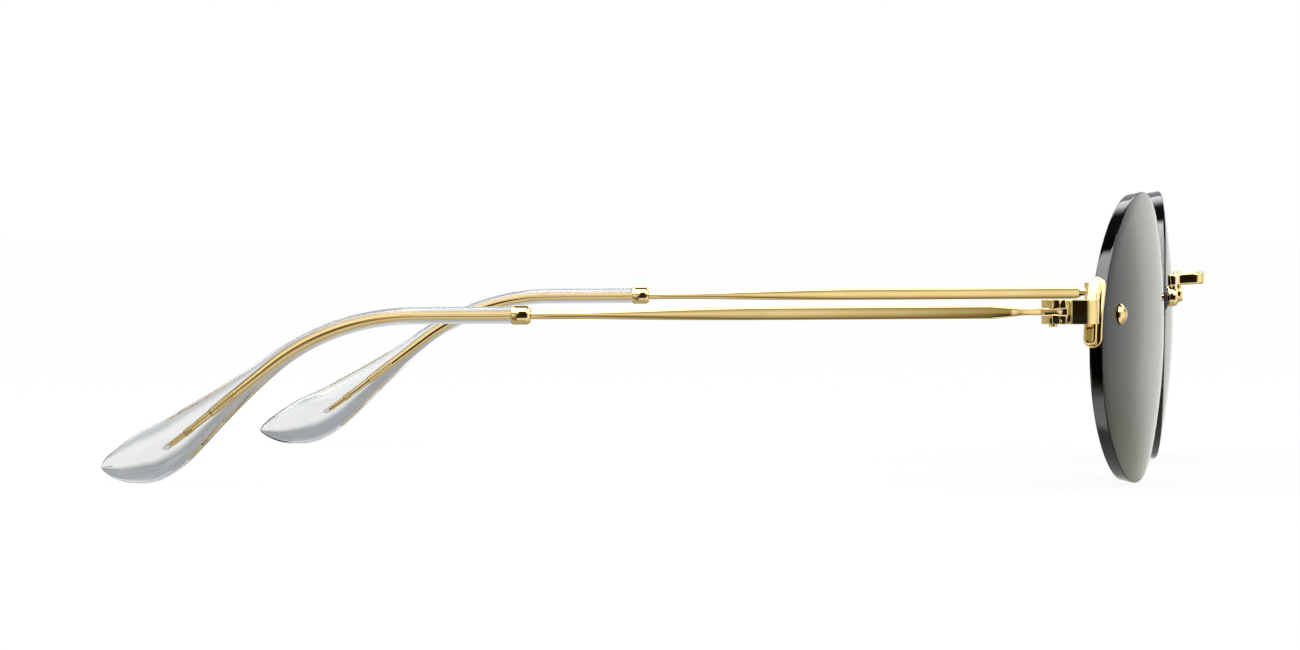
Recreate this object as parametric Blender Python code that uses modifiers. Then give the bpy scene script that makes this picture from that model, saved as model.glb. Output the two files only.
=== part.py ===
"""Rimless oval sunglasses: drilled lenses, T-bar endpieces, a stepped bridge and wire temples in clear tips.

The front faces -Y, the temples run back along +Y and +X is the wearer's left. The pair stands at z = 0 on the
bottoms of its lenses and tips. The right half is modelled, and the left half is its mirror image.
"""
import math

import bmesh
import bpy
from mathutils import Matrix, Vector

# Overall reach, fore and aft of the hinge screws
BRIDGE_REACH = 0.0197
TEMPLE_REACH = 0.1384
HINGE_SPACING = 0.1320
HINGE_HEIGHT = 0.0257

# Lenses
LENS_HEIGHT = 0.0426
LENS_THICKNESS = 0.0021
LENS_RADIUS = 0.1050
LENS_GAP = 0.0190
LENS_TO_HINGE = 0.0045
LENS_SETBACK = 0.0133
LENS_WRAP = math.radians(7.3)
LENS_TILT = math.radians(0.85)
LENS_CHAMFER = 0.00018
LENS_RINGS = 4
LENS_STEPS = 56
LENS_BORE = 0.0020
TEMPORAL_BORE_INSET = 0.0067
TEMPORAL_BORE_UP = 0.0038
NASAL_BORE_INSET = 0.0047
NASAL_BORE_UP = 0.0055

# Fits
SEAT_GAP = 0.00003
LENS_SEAT_GAP = 0.00008
BORE_GAP = 0.00007
TIP_BORE_GAP = 0.00010

# Small screws
SCREW_SHANK = 0.0012
SCREW_OVERRUN = 0.0002
DOME_WIDTH = 0.0030
DOME_HEIGHT = 0.00085
BUSH_FLANGE_WIDTH = 0.0030
BUSH_FLANGE = 0.0002
NUT_WIDTH = 0.0025
NUT_HEIGHT = 0.0009
CHEESE_WIDTH = 0.0024
CHEESE_HEIGHT = 0.00075
DRIVER_SLOT = 0.00035
DRIVER_DEPTH = 0.00030
DOME_STEPS = 5
TURN_STEPS = 18
PIN_STEPS = 12

# Endpieces
TBAR_LENGTH = 0.0101
TBAR_WIDTH = 0.0030
TBAR_THICKNESS = 0.00090
TBAR_PAD_INSET = 0.00045
TBAR_PAD_RISE = 0.00035
TBAR_CENTRE_UP = 0.0041
TBAR_STATIONS = 12
TBAR_END_MARGIN = 0.35
TAB_THICKNESS = 0.0008
TAB_WIDTH = 0.0024
TAB_EYE = 0.0032
ELBOW_RADIUS = 0.0045
ELBOW_STEPS = 8
ARM_BEVEL = 0.0002

# Hinges
FORK_HEIGHT = 0.00345
BARREL_RADIUS = 0.00165
SLOT_HEIGHT = 0.00112
SLOT_RADIUS = 0.00253
SLOT_STEPS = 32
HINGE_SHANK = 0.0012
HINGE_HEAD = 0.0020
HINGE_HEAD_HEIGHT = 0.00045
HINGE_TIP = 0.00040

# Temples
TONGUE_THICKNESS = 0.00096
TONGUE_WIDTH = 0.0025
TONGUE_SHOULDER = 0.0026
TONGUE_TAIL = 0.0037
PINCH = 0.0034
PINCH_HEIGHT = 0.0008
PINCH_WIDTH = 0.0012
FLAT_START = 0.0087
FLAT_END = 0.0500
FLAT_HEIGHT = 0.00186
FLAT_WIDTH = 0.0009
FLAT_CORNER = 0.00028
WIRE_START = 0.0642
WIRE_WIDTH = 0.00125
CORE_END_WIDTH = 0.00116
TEMPLE_SLOPE = math.radians(0.65)
TEMPLE_BOW = 0.0015
BEND_START = 0.0910
BEND_RADIUS = 0.0350
BEND_ANGLE = math.radians(37.0)
RAKE_LENGTH = 0.0173
RECURVE_RADIUS = 0.0215
RECURVE_ANGLE = math.radians(29.7)
TIP_TURN_IN = 0.0084
BEND_COUNT = 8
RECURVE_COUNT = 6

# Collars and tips
COLLAR_START = 0.0741
COLLAR_LENGTH = 0.00265
COLLAR_WIDTH = 0.00277
COLLAR_CHAMFER = 0.00045
COLLAR_MOUTH = 0.00050
SLEEVE_WIDTH = 0.00245
PADDLE_HEIGHT = 0.0077
PADDLE_THICKNESS = 0.0028
PADDLE_START = 0.0880
PADDLE_WIDEST = 0.00825
PADDLE_EASE = 2.5
END_ROUNDNESS = 1.5
CORE_SHORT_OF_END = 0.0117
BORE_OVERRUN = 0.0012
PADDLE_END_SHARES = (0.0, 0.3, 0.55, 0.75, 0.9, 0.98)

# Bridge
BAR_HEIGHT = 0.0018
BAR_THICKNESS = 0.0013
BAR_CORNER = 0.00030
BAR_UP_FROM_BOSS = 0.0025
BAR_ELBOW = 0.0079
BAR_CROSS = 0.0056
BAR_CROSS_LIFT = 0.0002
BEND_STEPS = 4
BOSS_WIDTH = 0.00295
BOSS_HEIGHT = 0.00155
BOSS_ROUND = 0.00045
BOSS_BORE_DEPTH = 0.0011
NECK_WIDTH = 0.0012
NECK_DEPTH = 0.0010
WASHER_WIDTH = 0.0036
WASHER_HEIGHT = 0.00055
REAR_WASHER_WIDTH = 0.0032
REAR_WASHER_HEIGHT = 0.0003

# Nose pads
PAD_LENGTH = 0.0130
PAD_WIDTH = 0.0066
PAD_CROWN = 0.0011
PAD_BACK = 0.00055
PAD_SPACING = 0.0172
PAD_BEHIND_HINGE_LINE = -0.0074
PAD_HEIGHT = 0.0175
PAD_FLARE = math.radians(24.0)
PAD_LEAN = math.radians(15.0)
INSERT_LENGTH = 0.0084
INSERT_WIDTH = 0.0040
INSERT_THICKNESS = 0.0006
POST_WIDTH = 0.0014
POST_THICKNESS = 0.0010
POST_REACH = 0.0012
BOX_WALL = 0.0005
BOX_LENGTH = 0.0022
BOX_MOUTH_GAP = 0.00045
PAD_SCREW = 0.0007
PAD_SCREW_HEAD = 0.0012
PAD_SCREW_HEAD_HEIGHT = 0.0004
ARM_WIRE = 0.0010
ARM_LOOP_OUT = 0.0016
ARM_LOOP_BACK = 0.0024
ARM_LOOP_ENTRY = 0.3
ARM_LOOP_EXIT = 0.8
ARM_DROP_ENTRY = 0.25
ARM_DROP_EXIT = 0.6
ARM_DROP_RETURN = 0.85
ARM_STEPS = 4
PAD_SEGMENTS = 20
PAD_RINGS = 10

# Drawing steps
RING_POINTS = 16
OVERLAP = 0.0003
WELD = 1e-7
SLIVER = 1e-6
SHARP_EDGE = math.radians(50)
CORNER_EDGE = math.radians(80)
SMOOTH_EDGE = math.radians(35)

# Places worked out from the sizes above
LENS_WIDTH = (HINGE_SPACING - LENS_GAP) / 2 - LENS_TO_HINGE
HINGE = Vector((-HINGE_SPACING / 2, (BRIDGE_REACH - TEMPLE_REACH) / 2, HINGE_HEIGHT))
UP = Vector((0, 0, 1))


def clear_scene():
    for item in list(bpy.data.objects):
        bpy.data.objects.remove(item, do_unlink=True)


def new_collection(name):
    group = bpy.data.collections.new(name)
    bpy.context.scene.collection.children.link(group)
    return group


def new_material(name, colour, metallic, roughness, transmission=0.0):
    finish = bpy.data.materials.new(name)
    finish.use_nodes = True
    shader = finish.node_tree.nodes["Principled BSDF"]
    shader.inputs["Base Color"].default_value = (*colour, 1.0)
    shader.inputs["Metallic"].default_value = metallic
    shader.inputs["Roughness"].default_value = roughness
    shader.inputs["Transmission Weight"].default_value = transmission
    return finish


def work_object(shape):
    mesh = bpy.data.meshes.new("work")
    shape.to_mesh(mesh)
    item = bpy.data.objects.new("work", mesh)
    bpy.context.scene.collection.objects.link(item)
    return item


def evaluated_shape(item):
    depsgraph = bpy.context.evaluated_depsgraph_get()
    mesh = bpy.data.meshes.new_from_object(item.evaluated_get(depsgraph))
    shape = bmesh.new()
    shape.from_mesh(mesh)
    bpy.data.meshes.remove(mesh)
    bmesh.ops.remove_doubles(shape, verts=shape.verts, dist=WELD)
    return shape


def combine(shape, tool, operation):
    """Join or cut one closed shape with another, and use both up."""
    base_item = work_object(shape)
    tool_item = work_object(tool)
    step = base_item.modifiers.new("combine", "BOOLEAN")
    step.object = tool_item
    step.operation = operation
    step.solver = "EXACT"
    result = evaluated_shape(base_item)
    for item in (base_item, tool_item):
        mesh = item.data
        bpy.data.objects.remove(item, do_unlink=True)
        bpy.data.meshes.remove(mesh)
    shape.free()
    tool.free()
    bmesh.ops.dissolve_degenerate(result, edges=result.edges, dist=SLIVER)
    return result


def join(shape, tool):
    return combine(shape, tool, "UNION")


def cut(shape, tool):
    return combine(shape, tool, "DIFFERENCE")


def outward(shape):
    bmesh.ops.recalc_face_normals(shape, faces=shape.faces)
    return shape


def moved(shape, matrix):
    bmesh.ops.transform(shape, matrix=matrix, verts=shape.verts)
    return shape


def loft(rings):
    """Close a skin over rings that have the same number of points."""
    shape = bmesh.new()
    rows = [[shape.verts.new(point) for point in ring] for ring in rings]
    count = len(rings[0])
    for row, following in zip(rows, rows[1:]):
        for i in range(count):
            j = (i + 1) % count
            shape.faces.new((row[i], row[j], following[j], following[i]))
    shape.faces.new(rows[0])
    shape.faces.new(rows[-1])
    return outward(shape)


def turned(profile, steps=TURN_STEPS):
    """Turn (radius, height) points about Z. The profile is closed through its first and last points."""
    shape = bmesh.new()
    points = [shape.verts.new((radius, 0, height)) for radius, height in profile]
    edges = [shape.edges.new(pair) for pair in zip(points, points[1:])]
    if min(profile[0][0], profile[-1][0]) > 0:
        edges.append(shape.edges.new((points[-1], points[0])))
    bmesh.ops.spin(shape, geom=points + edges, cent=(0, 0, 0), axis=UP, angle=math.tau, steps=steps)
    bmesh.ops.remove_doubles(shape, verts=shape.verts, dist=WELD)
    return outward(shape)


def cylinder(radius, bottom, top, steps=TURN_STEPS):
    shape = bmesh.new()
    bmesh.ops.create_cone(
        shape, cap_ends=True, segments=steps, radius1=radius, radius2=radius, depth=top - bottom)
    return moved(shape, Matrix.Translation((0, 0, (top + bottom) / 2)))


def box(low, high):
    shape = bmesh.new()
    bmesh.ops.create_cube(shape, size=1.0)
    low, high = Vector(low), Vector(high)
    moved(shape, Matrix.Diagonal((*(high - low), 1.0)))
    return moved(shape, Matrix.Translation((low + high) / 2))


def prism(outline, bottom, top):
    """Raise a closed plan outline between two heights."""
    return loft([[Vector((x, y, height)) for x, y in outline] for height in (bottom, top)])


def bevelled(shape, width, angle=SHARP_EDGE):
    edges = [edge for edge in shape.edges if len(edge.link_faces) == 2 and edge.calc_face_angle() > angle]
    bmesh.ops.bevel(shape, geom=edges, offset=width, segments=1, affect="EDGES", clamp_overlap=True)
    return shape


def arc(centre, radius, start, end, steps):
    """Plan points along an arc, with angles in degrees."""
    points = []
    for i in range(steps + 1):
        angle = math.radians(start + (end - start) * i / steps)
        points.append((centre[0] + radius * math.cos(angle), centre[1] + radius * math.sin(angle)))
    return points


def rounded_ring(centre, across, upward, half_width, half_height, corner):
    """A rounded rectangle about a point. It is a circle where both halves equal the corner."""
    ring = []
    per_corner = RING_POINTS // 4
    for quarter, (side, lift) in enumerate(((1, 1), (-1, 1), (-1, -1), (1, -1))):
        for i in range(per_corner):
            angle = math.tau * (quarter + (i + 0.5) / per_corner) / 4
            x = side * (half_width - corner) + corner * math.cos(angle)
            y = lift * (half_height - corner) + corner * math.sin(angle)
            ring.append(centre + across * x + upward * y)
    return ring


def axis_frame(origin, axis, across):
    """A frame whose Z lies along the axis and whose X leans toward across."""
    z = axis.normalized()
    x = (across - z * across.dot(z)).normalized()
    y = z.cross(x)
    frame = Matrix((x, y, z)).transposed().to_4x4()
    return Matrix.Translation(origin) @ frame


# Lens frame: x toward the nose, y back from the front vertex, z up
LENS_DEPTH = LENS_HEIGHT ** 2 / (8 * LENS_RADIUS)
LENS_LIFT = LENS_HEIGHT / 2 * math.cos(LENS_TILT) - LENS_DEPTH * math.sin(LENS_TILT)
LENS_PLACE = Vector((-(LENS_GAP + LENS_WIDTH) / 2, HINGE.y - LENS_SETBACK, LENS_LIFT))
LENS_FRAME = (
    Matrix.Translation(LENS_PLACE) @ Matrix.Rotation(LENS_TILT, 4, "X") @ Matrix.Rotation(-LENS_WRAP, 4, "Z"))


def lens_sag(x, z):
    return LENS_RADIUS - math.sqrt(LENS_RADIUS ** 2 - x * x - z * z)


def lens_bore_frame(x, z):
    """Frame of a lens bore: origin on the front surface, Z out of the front and X toward the nose."""
    sag = lens_sag(x, z)
    axis = Vector((x, sag - LENS_RADIUS, z))
    return LENS_FRAME @ axis_frame(Vector((x, sag, z)), axis, Vector((1, 0, 0)))


TEMPORAL_FRAME = lens_bore_frame(TEMPORAL_BORE_INSET - LENS_WIDTH / 2, TEMPORAL_BORE_UP)
NASAL_FRAME = lens_bore_frame(LENS_WIDTH / 2 - NASAL_BORE_INSET, NASAL_BORE_UP)


def make_lens():
    shape = bmesh.new()
    spoke = [shape.verts.new((i / LENS_RINGS, 0, 0)) for i in range(LENS_RINGS + 1)]
    edges = [shape.edges.new(pair) for pair in zip(spoke, spoke[1:])]
    bmesh.ops.spin(
        shape, geom=spoke + edges, cent=(0, 0, 0), axis=(0, 1, 0), angle=math.tau, steps=LENS_STEPS)
    bmesh.ops.remove_doubles(shape, verts=shape.verts, dist=SLIVER)
    for vert in shape.verts:
        x = vert.co.x * LENS_WIDTH / 2
        z = vert.co.z * LENS_HEIGHT / 2
        vert.co = (x, lens_sag(x, z), z)
    outward(shape)
    shape.normal_update()
    if sum(face.normal.y for face in shape.faces) > 0:
        bmesh.ops.reverse_faces(shape, faces=shape.faces)
    item = work_object(shape)
    shell = item.modifiers.new("shell", "SOLIDIFY")
    shell.thickness = LENS_THICKNESS
    shell.offset = -1
    shell.use_even_offset = True
    safety = item.modifiers.new("safety edge", "BEVEL")
    safety.width = LENS_CHAMFER
    safety.segments = 1
    safety.limit_method = "ANGLE"
    safety.angle_limit = SHARP_EDGE
    lens = moved(outward(evaluated_shape(item)), LENS_FRAME)
    bpy.data.objects.remove(item, do_unlink=True)
    shape.free()
    for frame in (TEMPORAL_FRAME, NASAL_FRAME):
        drill = cylinder(LENS_BORE / 2, -LENS_THICKNESS - OVERLAP, OVERLAP)
        lens = cut(lens, moved(drill, frame))
    return lens


# Levels along a lens bore, measured from the front surface and negative behind it
SHANK_HOLE = SCREW_SHANK / 2 + BORE_GAP
LENS_BACK = -LENS_THICKNESS - LENS_SEAT_GAP
TAB_FRONT = LENS_BACK - BUSH_FLANGE - SEAT_GAP
TAB_BACK = TAB_FRONT - TAB_THICKNESS
NUT_BACK = TAB_BACK - SEAT_GAP - NUT_HEIGHT
BOSS_BACK = SEAT_GAP + WASHER_HEIGHT + SEAT_GAP
BOSS_FRONT = BOSS_BACK + BOSS_HEIGHT
REAR_WASHER_BACK = LENS_BACK - REAR_WASHER_HEIGHT
CHEESE_FRONT = REAR_WASHER_BACK - SEAT_GAP


def driver_slot(face, width, reach):
    """Cutter for a screwdriver slot that opens at a level, on the side that reach points to."""
    ends = sorted((face, face + reach))
    return box((-width, -DRIVER_SLOT / 2, ends[0]), (width, DRIVER_SLOT / 2, ends[1]))


def make_dome_screw():
    dome_radius = (DOME_WIDTH ** 2 / 4 + DOME_HEIGHT ** 2) / (2 * DOME_HEIGHT)
    half_angle = math.asin(DOME_WIDTH / 2 / dome_radius)
    profile = [(0, SEAT_GAP + DOME_HEIGHT)]
    for i in range(1, DOME_STEPS + 1):
        angle = half_angle * i / DOME_STEPS
        height = SEAT_GAP + DOME_HEIGHT - dome_radius * (1 - math.cos(angle))
        profile.append((dome_radius * math.sin(angle), height))
    profile += [
        (SCREW_SHANK / 2, SEAT_GAP),
        (SCREW_SHANK / 2, NUT_BACK - SCREW_OVERRUN),
        (0, NUT_BACK - SCREW_OVERRUN),
    ]
    return moved(turned(profile), TEMPORAL_FRAME)


def make_endpiece_bush():
    sleeve = LENS_BORE / 2 - BORE_GAP
    profile = [
        (SHANK_HOLE, -SEAT_GAP),
        (sleeve, -SEAT_GAP),
        (sleeve, LENS_BACK),
        (BUSH_FLANGE_WIDTH / 2, LENS_BACK),
        (BUSH_FLANGE_WIDTH / 2, LENS_BACK - BUSH_FLANGE),
        (SHANK_HOLE, LENS_BACK - BUSH_FLANGE),
    ]
    return moved(turned(profile), TEMPORAL_FRAME)


def make_endpiece_nut():
    nut = cylinder(NUT_WIDTH / 2 / math.cos(math.pi / 6), NUT_BACK, NUT_BACK + NUT_HEIGHT, steps=6)
    nut = cut(nut, cylinder(SHANK_HOLE, NUT_BACK - OVERLAP, TAB_BACK + OVERLAP))
    return moved(nut, TEMPORAL_FRAME)


def rim_point(along, depth, rise):
    """A point on the temporal lens edge: along the rim, back from its front, and out from it."""
    start = math.pi - math.asin(TBAR_CENTRE_UP / (LENS_HEIGHT / 2))
    rate = math.hypot(LENS_WIDTH / 2 * math.sin(start), LENS_HEIGHT / 2 * math.cos(start))
    angle = start - along / rate
    x = LENS_WIDTH / 2 * math.cos(angle)
    z = LENS_HEIGHT / 2 * math.sin(angle)
    normal = Vector((x / LENS_WIDTH ** 2, 0, z / LENS_HEIGHT ** 2)).normalized()
    return LENS_FRAME @ (Vector((x, lens_sag(x, z) + depth, z)) + normal * rise)


TBAR_MIDDLE = TBAR_WIDTH / 2 - SEAT_GAP


def rim_pill(length, width, low, high):
    """A pill-shaped plate that follows the lens edge between two heights above it."""
    rings = []
    end_radius = width / 2
    chamfer = (high - low) / 4
    for i in range(TBAR_STATIONS + 1):
        share = (i + TBAR_END_MARGIN) / (TBAR_STATIONS + 2 * TBAR_END_MARGIN)
        along = -length / 2 * math.cos(math.pi * share)
        past = max(0.0, abs(along) - (length / 2 - end_radius))
        half = math.sqrt(end_radius ** 2 - past ** 2)
        inset = min(chamfer, half / 2)
        section = [
            (-half, low), (half, low), (half, high - inset),
            (half - inset, high), (inset - half, high), (-half, high - inset)]
        rings.append([rim_point(along, TBAR_MIDDLE + across, rise) for across, rise in section])
    return loft(rings)


def make_endpiece():
    plate_top = SEAT_GAP + TBAR_THICKNESS
    piece = rim_pill(TBAR_LENGTH, TBAR_WIDTH, SEAT_GAP, plate_top)
    inset = 2 * TBAR_PAD_INSET
    pad = rim_pill(
        TBAR_LENGTH - inset, TBAR_WIDTH - inset, plate_top - TBAR_THICKNESS / 2, plate_top + TBAR_PAD_RISE)
    piece = join(piece, pad)

    # Arm and fork, drawn in plan from the barrel round the elbow to the T-bar
    front = rim_point(0, TBAR_MIDDLE - TBAR_WIDTH / 2 + TBAR_PAD_INSET, plate_top - TBAR_THICKNESS / 2)
    rear = rim_point(0, TBAR_MIDDLE + TBAR_WIDTH / 2 - ARM_BEVEL, plate_top - TBAR_THICKNESS / 2)
    outer = HINGE.x - BARREL_RADIUS
    inner = HINGE.x + BARREL_RADIUS
    outline = arc(HINGE, BARREL_RADIUS, 180, 0, 2 * ELBOW_STEPS)
    outline.append((inner, HINGE.y - SLOT_RADIUS))
    outline += [(rear.x, rear.y), (front.x, front.y)]
    outline += arc((outer + ELBOW_RADIUS, front.y + ELBOW_RADIUS), ELBOW_RADIUS, 270, 180, ELBOW_STEPS)
    arm = prism(outline, HINGE.z - FORK_HEIGHT / 2, HINGE.z + FORK_HEIGHT / 2)
    piece = join(piece, bevelled(arm, ARM_BEVEL, CORNER_EDGE))

    # Tab behind the lens
    reach = (TEMPORAL_FRAME.inverted() @ rim_point(0, 0, TBAR_THICKNESS / 2)).x
    tilt = (TEMPORAL_FRAME.inverted() @ rim_point(0, 0, 0)).y
    tab = cylinder(TAB_EYE / 2, TAB_BACK, TAB_FRONT)
    strap = box((reach, tilt - TAB_WIDTH / 2, TAB_BACK), (0, tilt + TAB_WIDTH / 2, TAB_FRONT))
    tab = join(tab, strap)
    piece = join(piece, moved(tab, TEMPORAL_FRAME))
    bore = cylinder(SHANK_HOLE, TAB_BACK - OVERLAP, TAB_FRONT + OVERLAP)
    piece = cut(piece, moved(bore, TEMPORAL_FRAME))

    # Slot, bore and head recess of the fork
    place = Matrix.Translation(HINGE)
    slot = cylinder(SLOT_RADIUS, -SLOT_HEIGHT / 2, SLOT_HEIGHT / 2, steps=SLOT_STEPS)
    piece = cut(piece, moved(slot, place))
    top = FORK_HEIGHT / 2
    bore = turned([
        (0, top + OVERLAP),
        (HINGE_HEAD / 2 + BORE_GAP, top + OVERLAP),
        (HINGE_HEAD / 2 + BORE_GAP, top - HINGE_HEAD_HEIGHT - SEAT_GAP),
        (HINGE_SHANK / 2 + BORE_GAP, top - HINGE_HEAD_HEIGHT - SEAT_GAP),
        (HINGE_SHANK / 2 + BORE_GAP, -top - OVERLAP),
        (0, -top - OVERLAP),
    ])
    return cut(piece, moved(bore, place))


def make_hinge_screw():
    top = FORK_HEIGHT / 2
    screw = turned([
        (0, top),
        (HINGE_HEAD / 2, top),
        (HINGE_HEAD / 2, top - HINGE_HEAD_HEIGHT),
        (HINGE_SHANK / 2, top - HINGE_HEAD_HEIGHT),
        (HINGE_SHANK / 2, -top - HINGE_TIP),
        (0, -top - HINGE_TIP),
    ])
    screw = cut(screw, driver_slot(top + OVERLAP, HINGE_HEAD, -OVERLAP - DRIVER_DEPTH))
    return moved(screw, Matrix.Translation(HINGE))


def temple_profile(length):
    """Place and heading in the side plane at a length along the temple, from the hinge axis."""
    heading = -TEMPLE_SLOPE
    place = Vector((0, 0))
    spans = (
        (BEND_START, 0.0),
        (BEND_RADIUS * BEND_ANGLE, -1 / BEND_RADIUS),
        (RAKE_LENGTH, 0.0),
        (RECURVE_RADIUS * RECURVE_ANGLE, 1 / RECURVE_RADIUS),
        (TEMPLE_REACH, 0.0),
    )
    for span, bend in spans:
        step = min(span, length)
        turn = step * bend
        chord = step if turn == 0 else 2 / abs(bend) * math.sin(abs(turn) / 2)
        place += Vector((math.cos(heading + turn / 2), math.sin(heading + turn / 2))) * chord
        heading += turn
        length -= step
        if length <= 0:
            break
    return place, heading


def temple_frame(length):
    """Centre, sideways and upward directions of the temple at a length from the hinge axis."""
    place, heading = temple_profile(length)
    turn_in = max(0.0, place.x - BEND_START) / (TEMPLE_REACH - BEND_START)
    bow = TEMPLE_BOW * min(1.0, place.x / BEND_START) - TIP_TURN_IN * turn_in ** 2
    centre = HINGE + Vector((-bow, place.x, place.y))
    return centre, Vector((-1, 0, 0)), Vector((0, -math.sin(heading), math.cos(heading)))


def length_to_reach(reach):
    """Length along the temple at which it has come back by a reach."""
    low, high = 0.0, 2 * TEMPLE_REACH
    while high - low > WELD:
        middle = (low + high) / 2
        if temple_profile(middle)[0].x < reach:
            low = middle
        else:
            high = middle
    return (low + high) / 2


TEMPLE_LENGTH = length_to_reach(TEMPLE_REACH)
CORE_END = TEMPLE_LENGTH - CORE_SHORT_OF_END
SLEEVE_START = COLLAR_START + COLLAR_LENGTH + SEAT_GAP
BEND_STATIONS = [BEND_START + BEND_RADIUS * BEND_ANGLE * i / BEND_COUNT for i in range(BEND_COUNT + 1)]
RAKE_END = BEND_STATIONS[-1] + RAKE_LENGTH
RECURVE_LENGTH = RECURVE_RADIUS * RECURVE_ANGLE
RECURVE_STATIONS = [RAKE_END + RECURVE_LENGTH * i / RECURVE_COUNT for i in range(RECURVE_COUNT + 1)]


def temple_ring(length, width, height, corner):
    centre, across, upward = temple_frame(length)
    return rounded_ring(centre, across, upward, width / 2, height / 2, corner)


def core_stations():
    return [length for length in BEND_STATIONS + RECURVE_STATIONS if length < CORE_END] + [CORE_END]


def core_width(length):
    """The core tapers from the wire to its end along the tip."""
    share = (length - SLEEVE_START) / (CORE_END - SLEEVE_START)
    return WIRE_WIDTH + (CORE_END_WIDTH - WIRE_WIDTH) * max(0.0, share) ** 2


def make_temple():
    half = TONGUE_WIDTH / 2
    reach = SLOT_RADIUS - BORE_GAP
    spread = math.degrees(math.asin(half / reach))
    outline = arc(HINGE, reach, 270 - spread, 270 + spread, ELBOW_STEPS)
    outline.append((HINGE.x + half, HINGE.y + TONGUE_SHOULDER))
    outline.append((HINGE.x + PINCH_WIDTH / 2, HINGE.y + TONGUE_TAIL))
    outline.append((HINGE.x - PINCH_WIDTH / 2, HINGE.y + TONGUE_TAIL))
    outline.append((HINGE.x - half, HINGE.y + TONGUE_SHOULDER))
    tongue = prism(outline, HINGE.z - TONGUE_THICKNESS / 2, HINGE.z + TONGUE_THICKNESS / 2)
    eye = cylinder(HINGE_SHANK / 2 + BORE_GAP, -TONGUE_THICKNESS, TONGUE_THICKNESS)
    tongue = cut(tongue, moved(eye, Matrix.Translation(HINGE)))

    pinch_corner = PINCH_HEIGHT / 4
    half_way = (PINCH + FLAT_START) / 2
    pressed = (FLAT_END + WIRE_START) / 2
    rings = [
        temple_ring(TONGUE_SHOULDER, PINCH_WIDTH - OVERLAP, PINCH_HEIGHT, pinch_corner),
        temple_ring(PINCH, PINCH_WIDTH, PINCH_HEIGHT, pinch_corner),
        temple_ring(half_way, (PINCH_WIDTH + FLAT_WIDTH) / 2, (PINCH_HEIGHT + FLAT_HEIGHT) / 2, pinch_corner),
        temple_ring(FLAT_START, FLAT_WIDTH, FLAT_HEIGHT, FLAT_CORNER),
        temple_ring(FLAT_END, FLAT_WIDTH, FLAT_HEIGHT, FLAT_CORNER),
        temple_ring(pressed, (FLAT_WIDTH + WIRE_WIDTH) / 2, (FLAT_HEIGHT + WIRE_WIDTH) / 2,
                    (FLAT_CORNER + WIRE_WIDTH / 2) / 2),
        temple_ring(WIRE_START, WIRE_WIDTH, WIRE_WIDTH, WIRE_WIDTH / 2),
        temple_ring(SLEEVE_START, WIRE_WIDTH, WIRE_WIDTH, WIRE_WIDTH / 2),
    ]
    for length in core_stations():
        width = core_width(length)
        rings.append(temple_ring(length, width, width, width / 2))
    return join(loft(rings), tongue)


def make_collar():
    bore = WIRE_WIDTH / 2 + BORE_GAP
    radius = COLLAR_WIDTH / 2
    mouth = radius - COLLAR_CHAMFER
    profile = [
        (bore, COLLAR_LENGTH),
        (radius, COLLAR_LENGTH),
        (radius, COLLAR_CHAMFER),
        (mouth, 0),
        ((bore + mouth) / 2, 0),
        (bore, COLLAR_MOUTH),
    ]
    centre, across, upward = temple_frame(COLLAR_START)
    ahead = temple_frame(COLLAR_START + COLLAR_LENGTH)[0] - centre
    return moved(turned(profile, RING_POINTS), axis_frame(centre, ahead, across))


def tip_size(length):
    """Half height and half thickness of the tip at a length along the temple."""
    sleeve = SLEEVE_WIDTH / 2
    widest = TEMPLE_LENGTH - PADDLE_WIDEST
    if length <= widest:
        share = max(0.0, (length - PADDLE_START) / (widest - PADDLE_START))
        grown = 0.5 - 0.5 * math.cos(math.pi * share ** PADDLE_EASE)
        closing = 1.0
    else:
        share = (length - widest) / PADDLE_WIDEST
        grown = 1.0
        closing = (1 - share ** END_ROUNDNESS) ** (1 / END_ROUNDNESS)
    height = sleeve + (PADDLE_HEIGHT / 2 - sleeve) * grown
    thickness = sleeve + (PADDLE_THICKNESS / 2 - sleeve) * grown
    return height * closing, thickness * closing


def tip_ring(length):
    centre, across, upward = temple_frame(length)
    height, thickness = tip_size(length)
    ring = []
    for i in range(RING_POINTS):
        angle = math.tau * (i + 0.5) / RING_POINTS
        ring.append(centre + across * thickness * math.cos(angle) + upward * height * math.sin(angle))
    return ring


def make_tip():
    widest = TEMPLE_LENGTH - PADDLE_WIDEST
    rake_middle = RAKE_END - RAKE_LENGTH / 2
    stations = [SLEEVE_START] + BEND_STATIONS + [rake_middle]
    stations += [length for length in RECURVE_STATIONS if length < widest]
    stations += [widest + PADDLE_WIDEST * share for share in PADDLE_END_SHARES]
    tip = loft([tip_ring(length) for length in stations])
    bore_end = CORE_END + BORE_OVERRUN
    rings = []
    for length in [SLEEVE_START - OVERLAP, SLEEVE_START] + core_stations() + [bore_end]:
        width = core_width(length) + 2 * TIP_BORE_GAP
        rings.append(temple_ring(length, width, width, width / 2))
    return cut(tip, loft(rings))


BOSS_PLACE = NASAL_FRAME @ Vector((0, 0, BOSS_BACK + BOSS_HEIGHT / 2))
BAR_HEIGHT_MIDDLE = BOSS_PLACE.z + BAR_UP_FROM_BOSS
BRIDGE_FRONT = HINGE.y - BRIDGE_REACH


def bridge_path():
    """Plan path of the bar from the right boss to the middle: across, forward and across again."""
    start = BOSS_PLACE.x - BOSS_WIDTH / 2 + BAR_CORNER
    back = BOSS_PLACE.y
    cross = BRIDGE_FRONT + BAR_THICKNESS / 2
    bend = (BAR_ELBOW - BAR_CROSS) / 2
    points = [(start, back)]
    points += arc((-BAR_ELBOW - bend, back - bend), bend, 90, 0, BEND_STEPS)
    points += arc((-BAR_ELBOW + bend, cross + bend), bend, 180, 270, BEND_STEPS)
    return points


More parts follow.
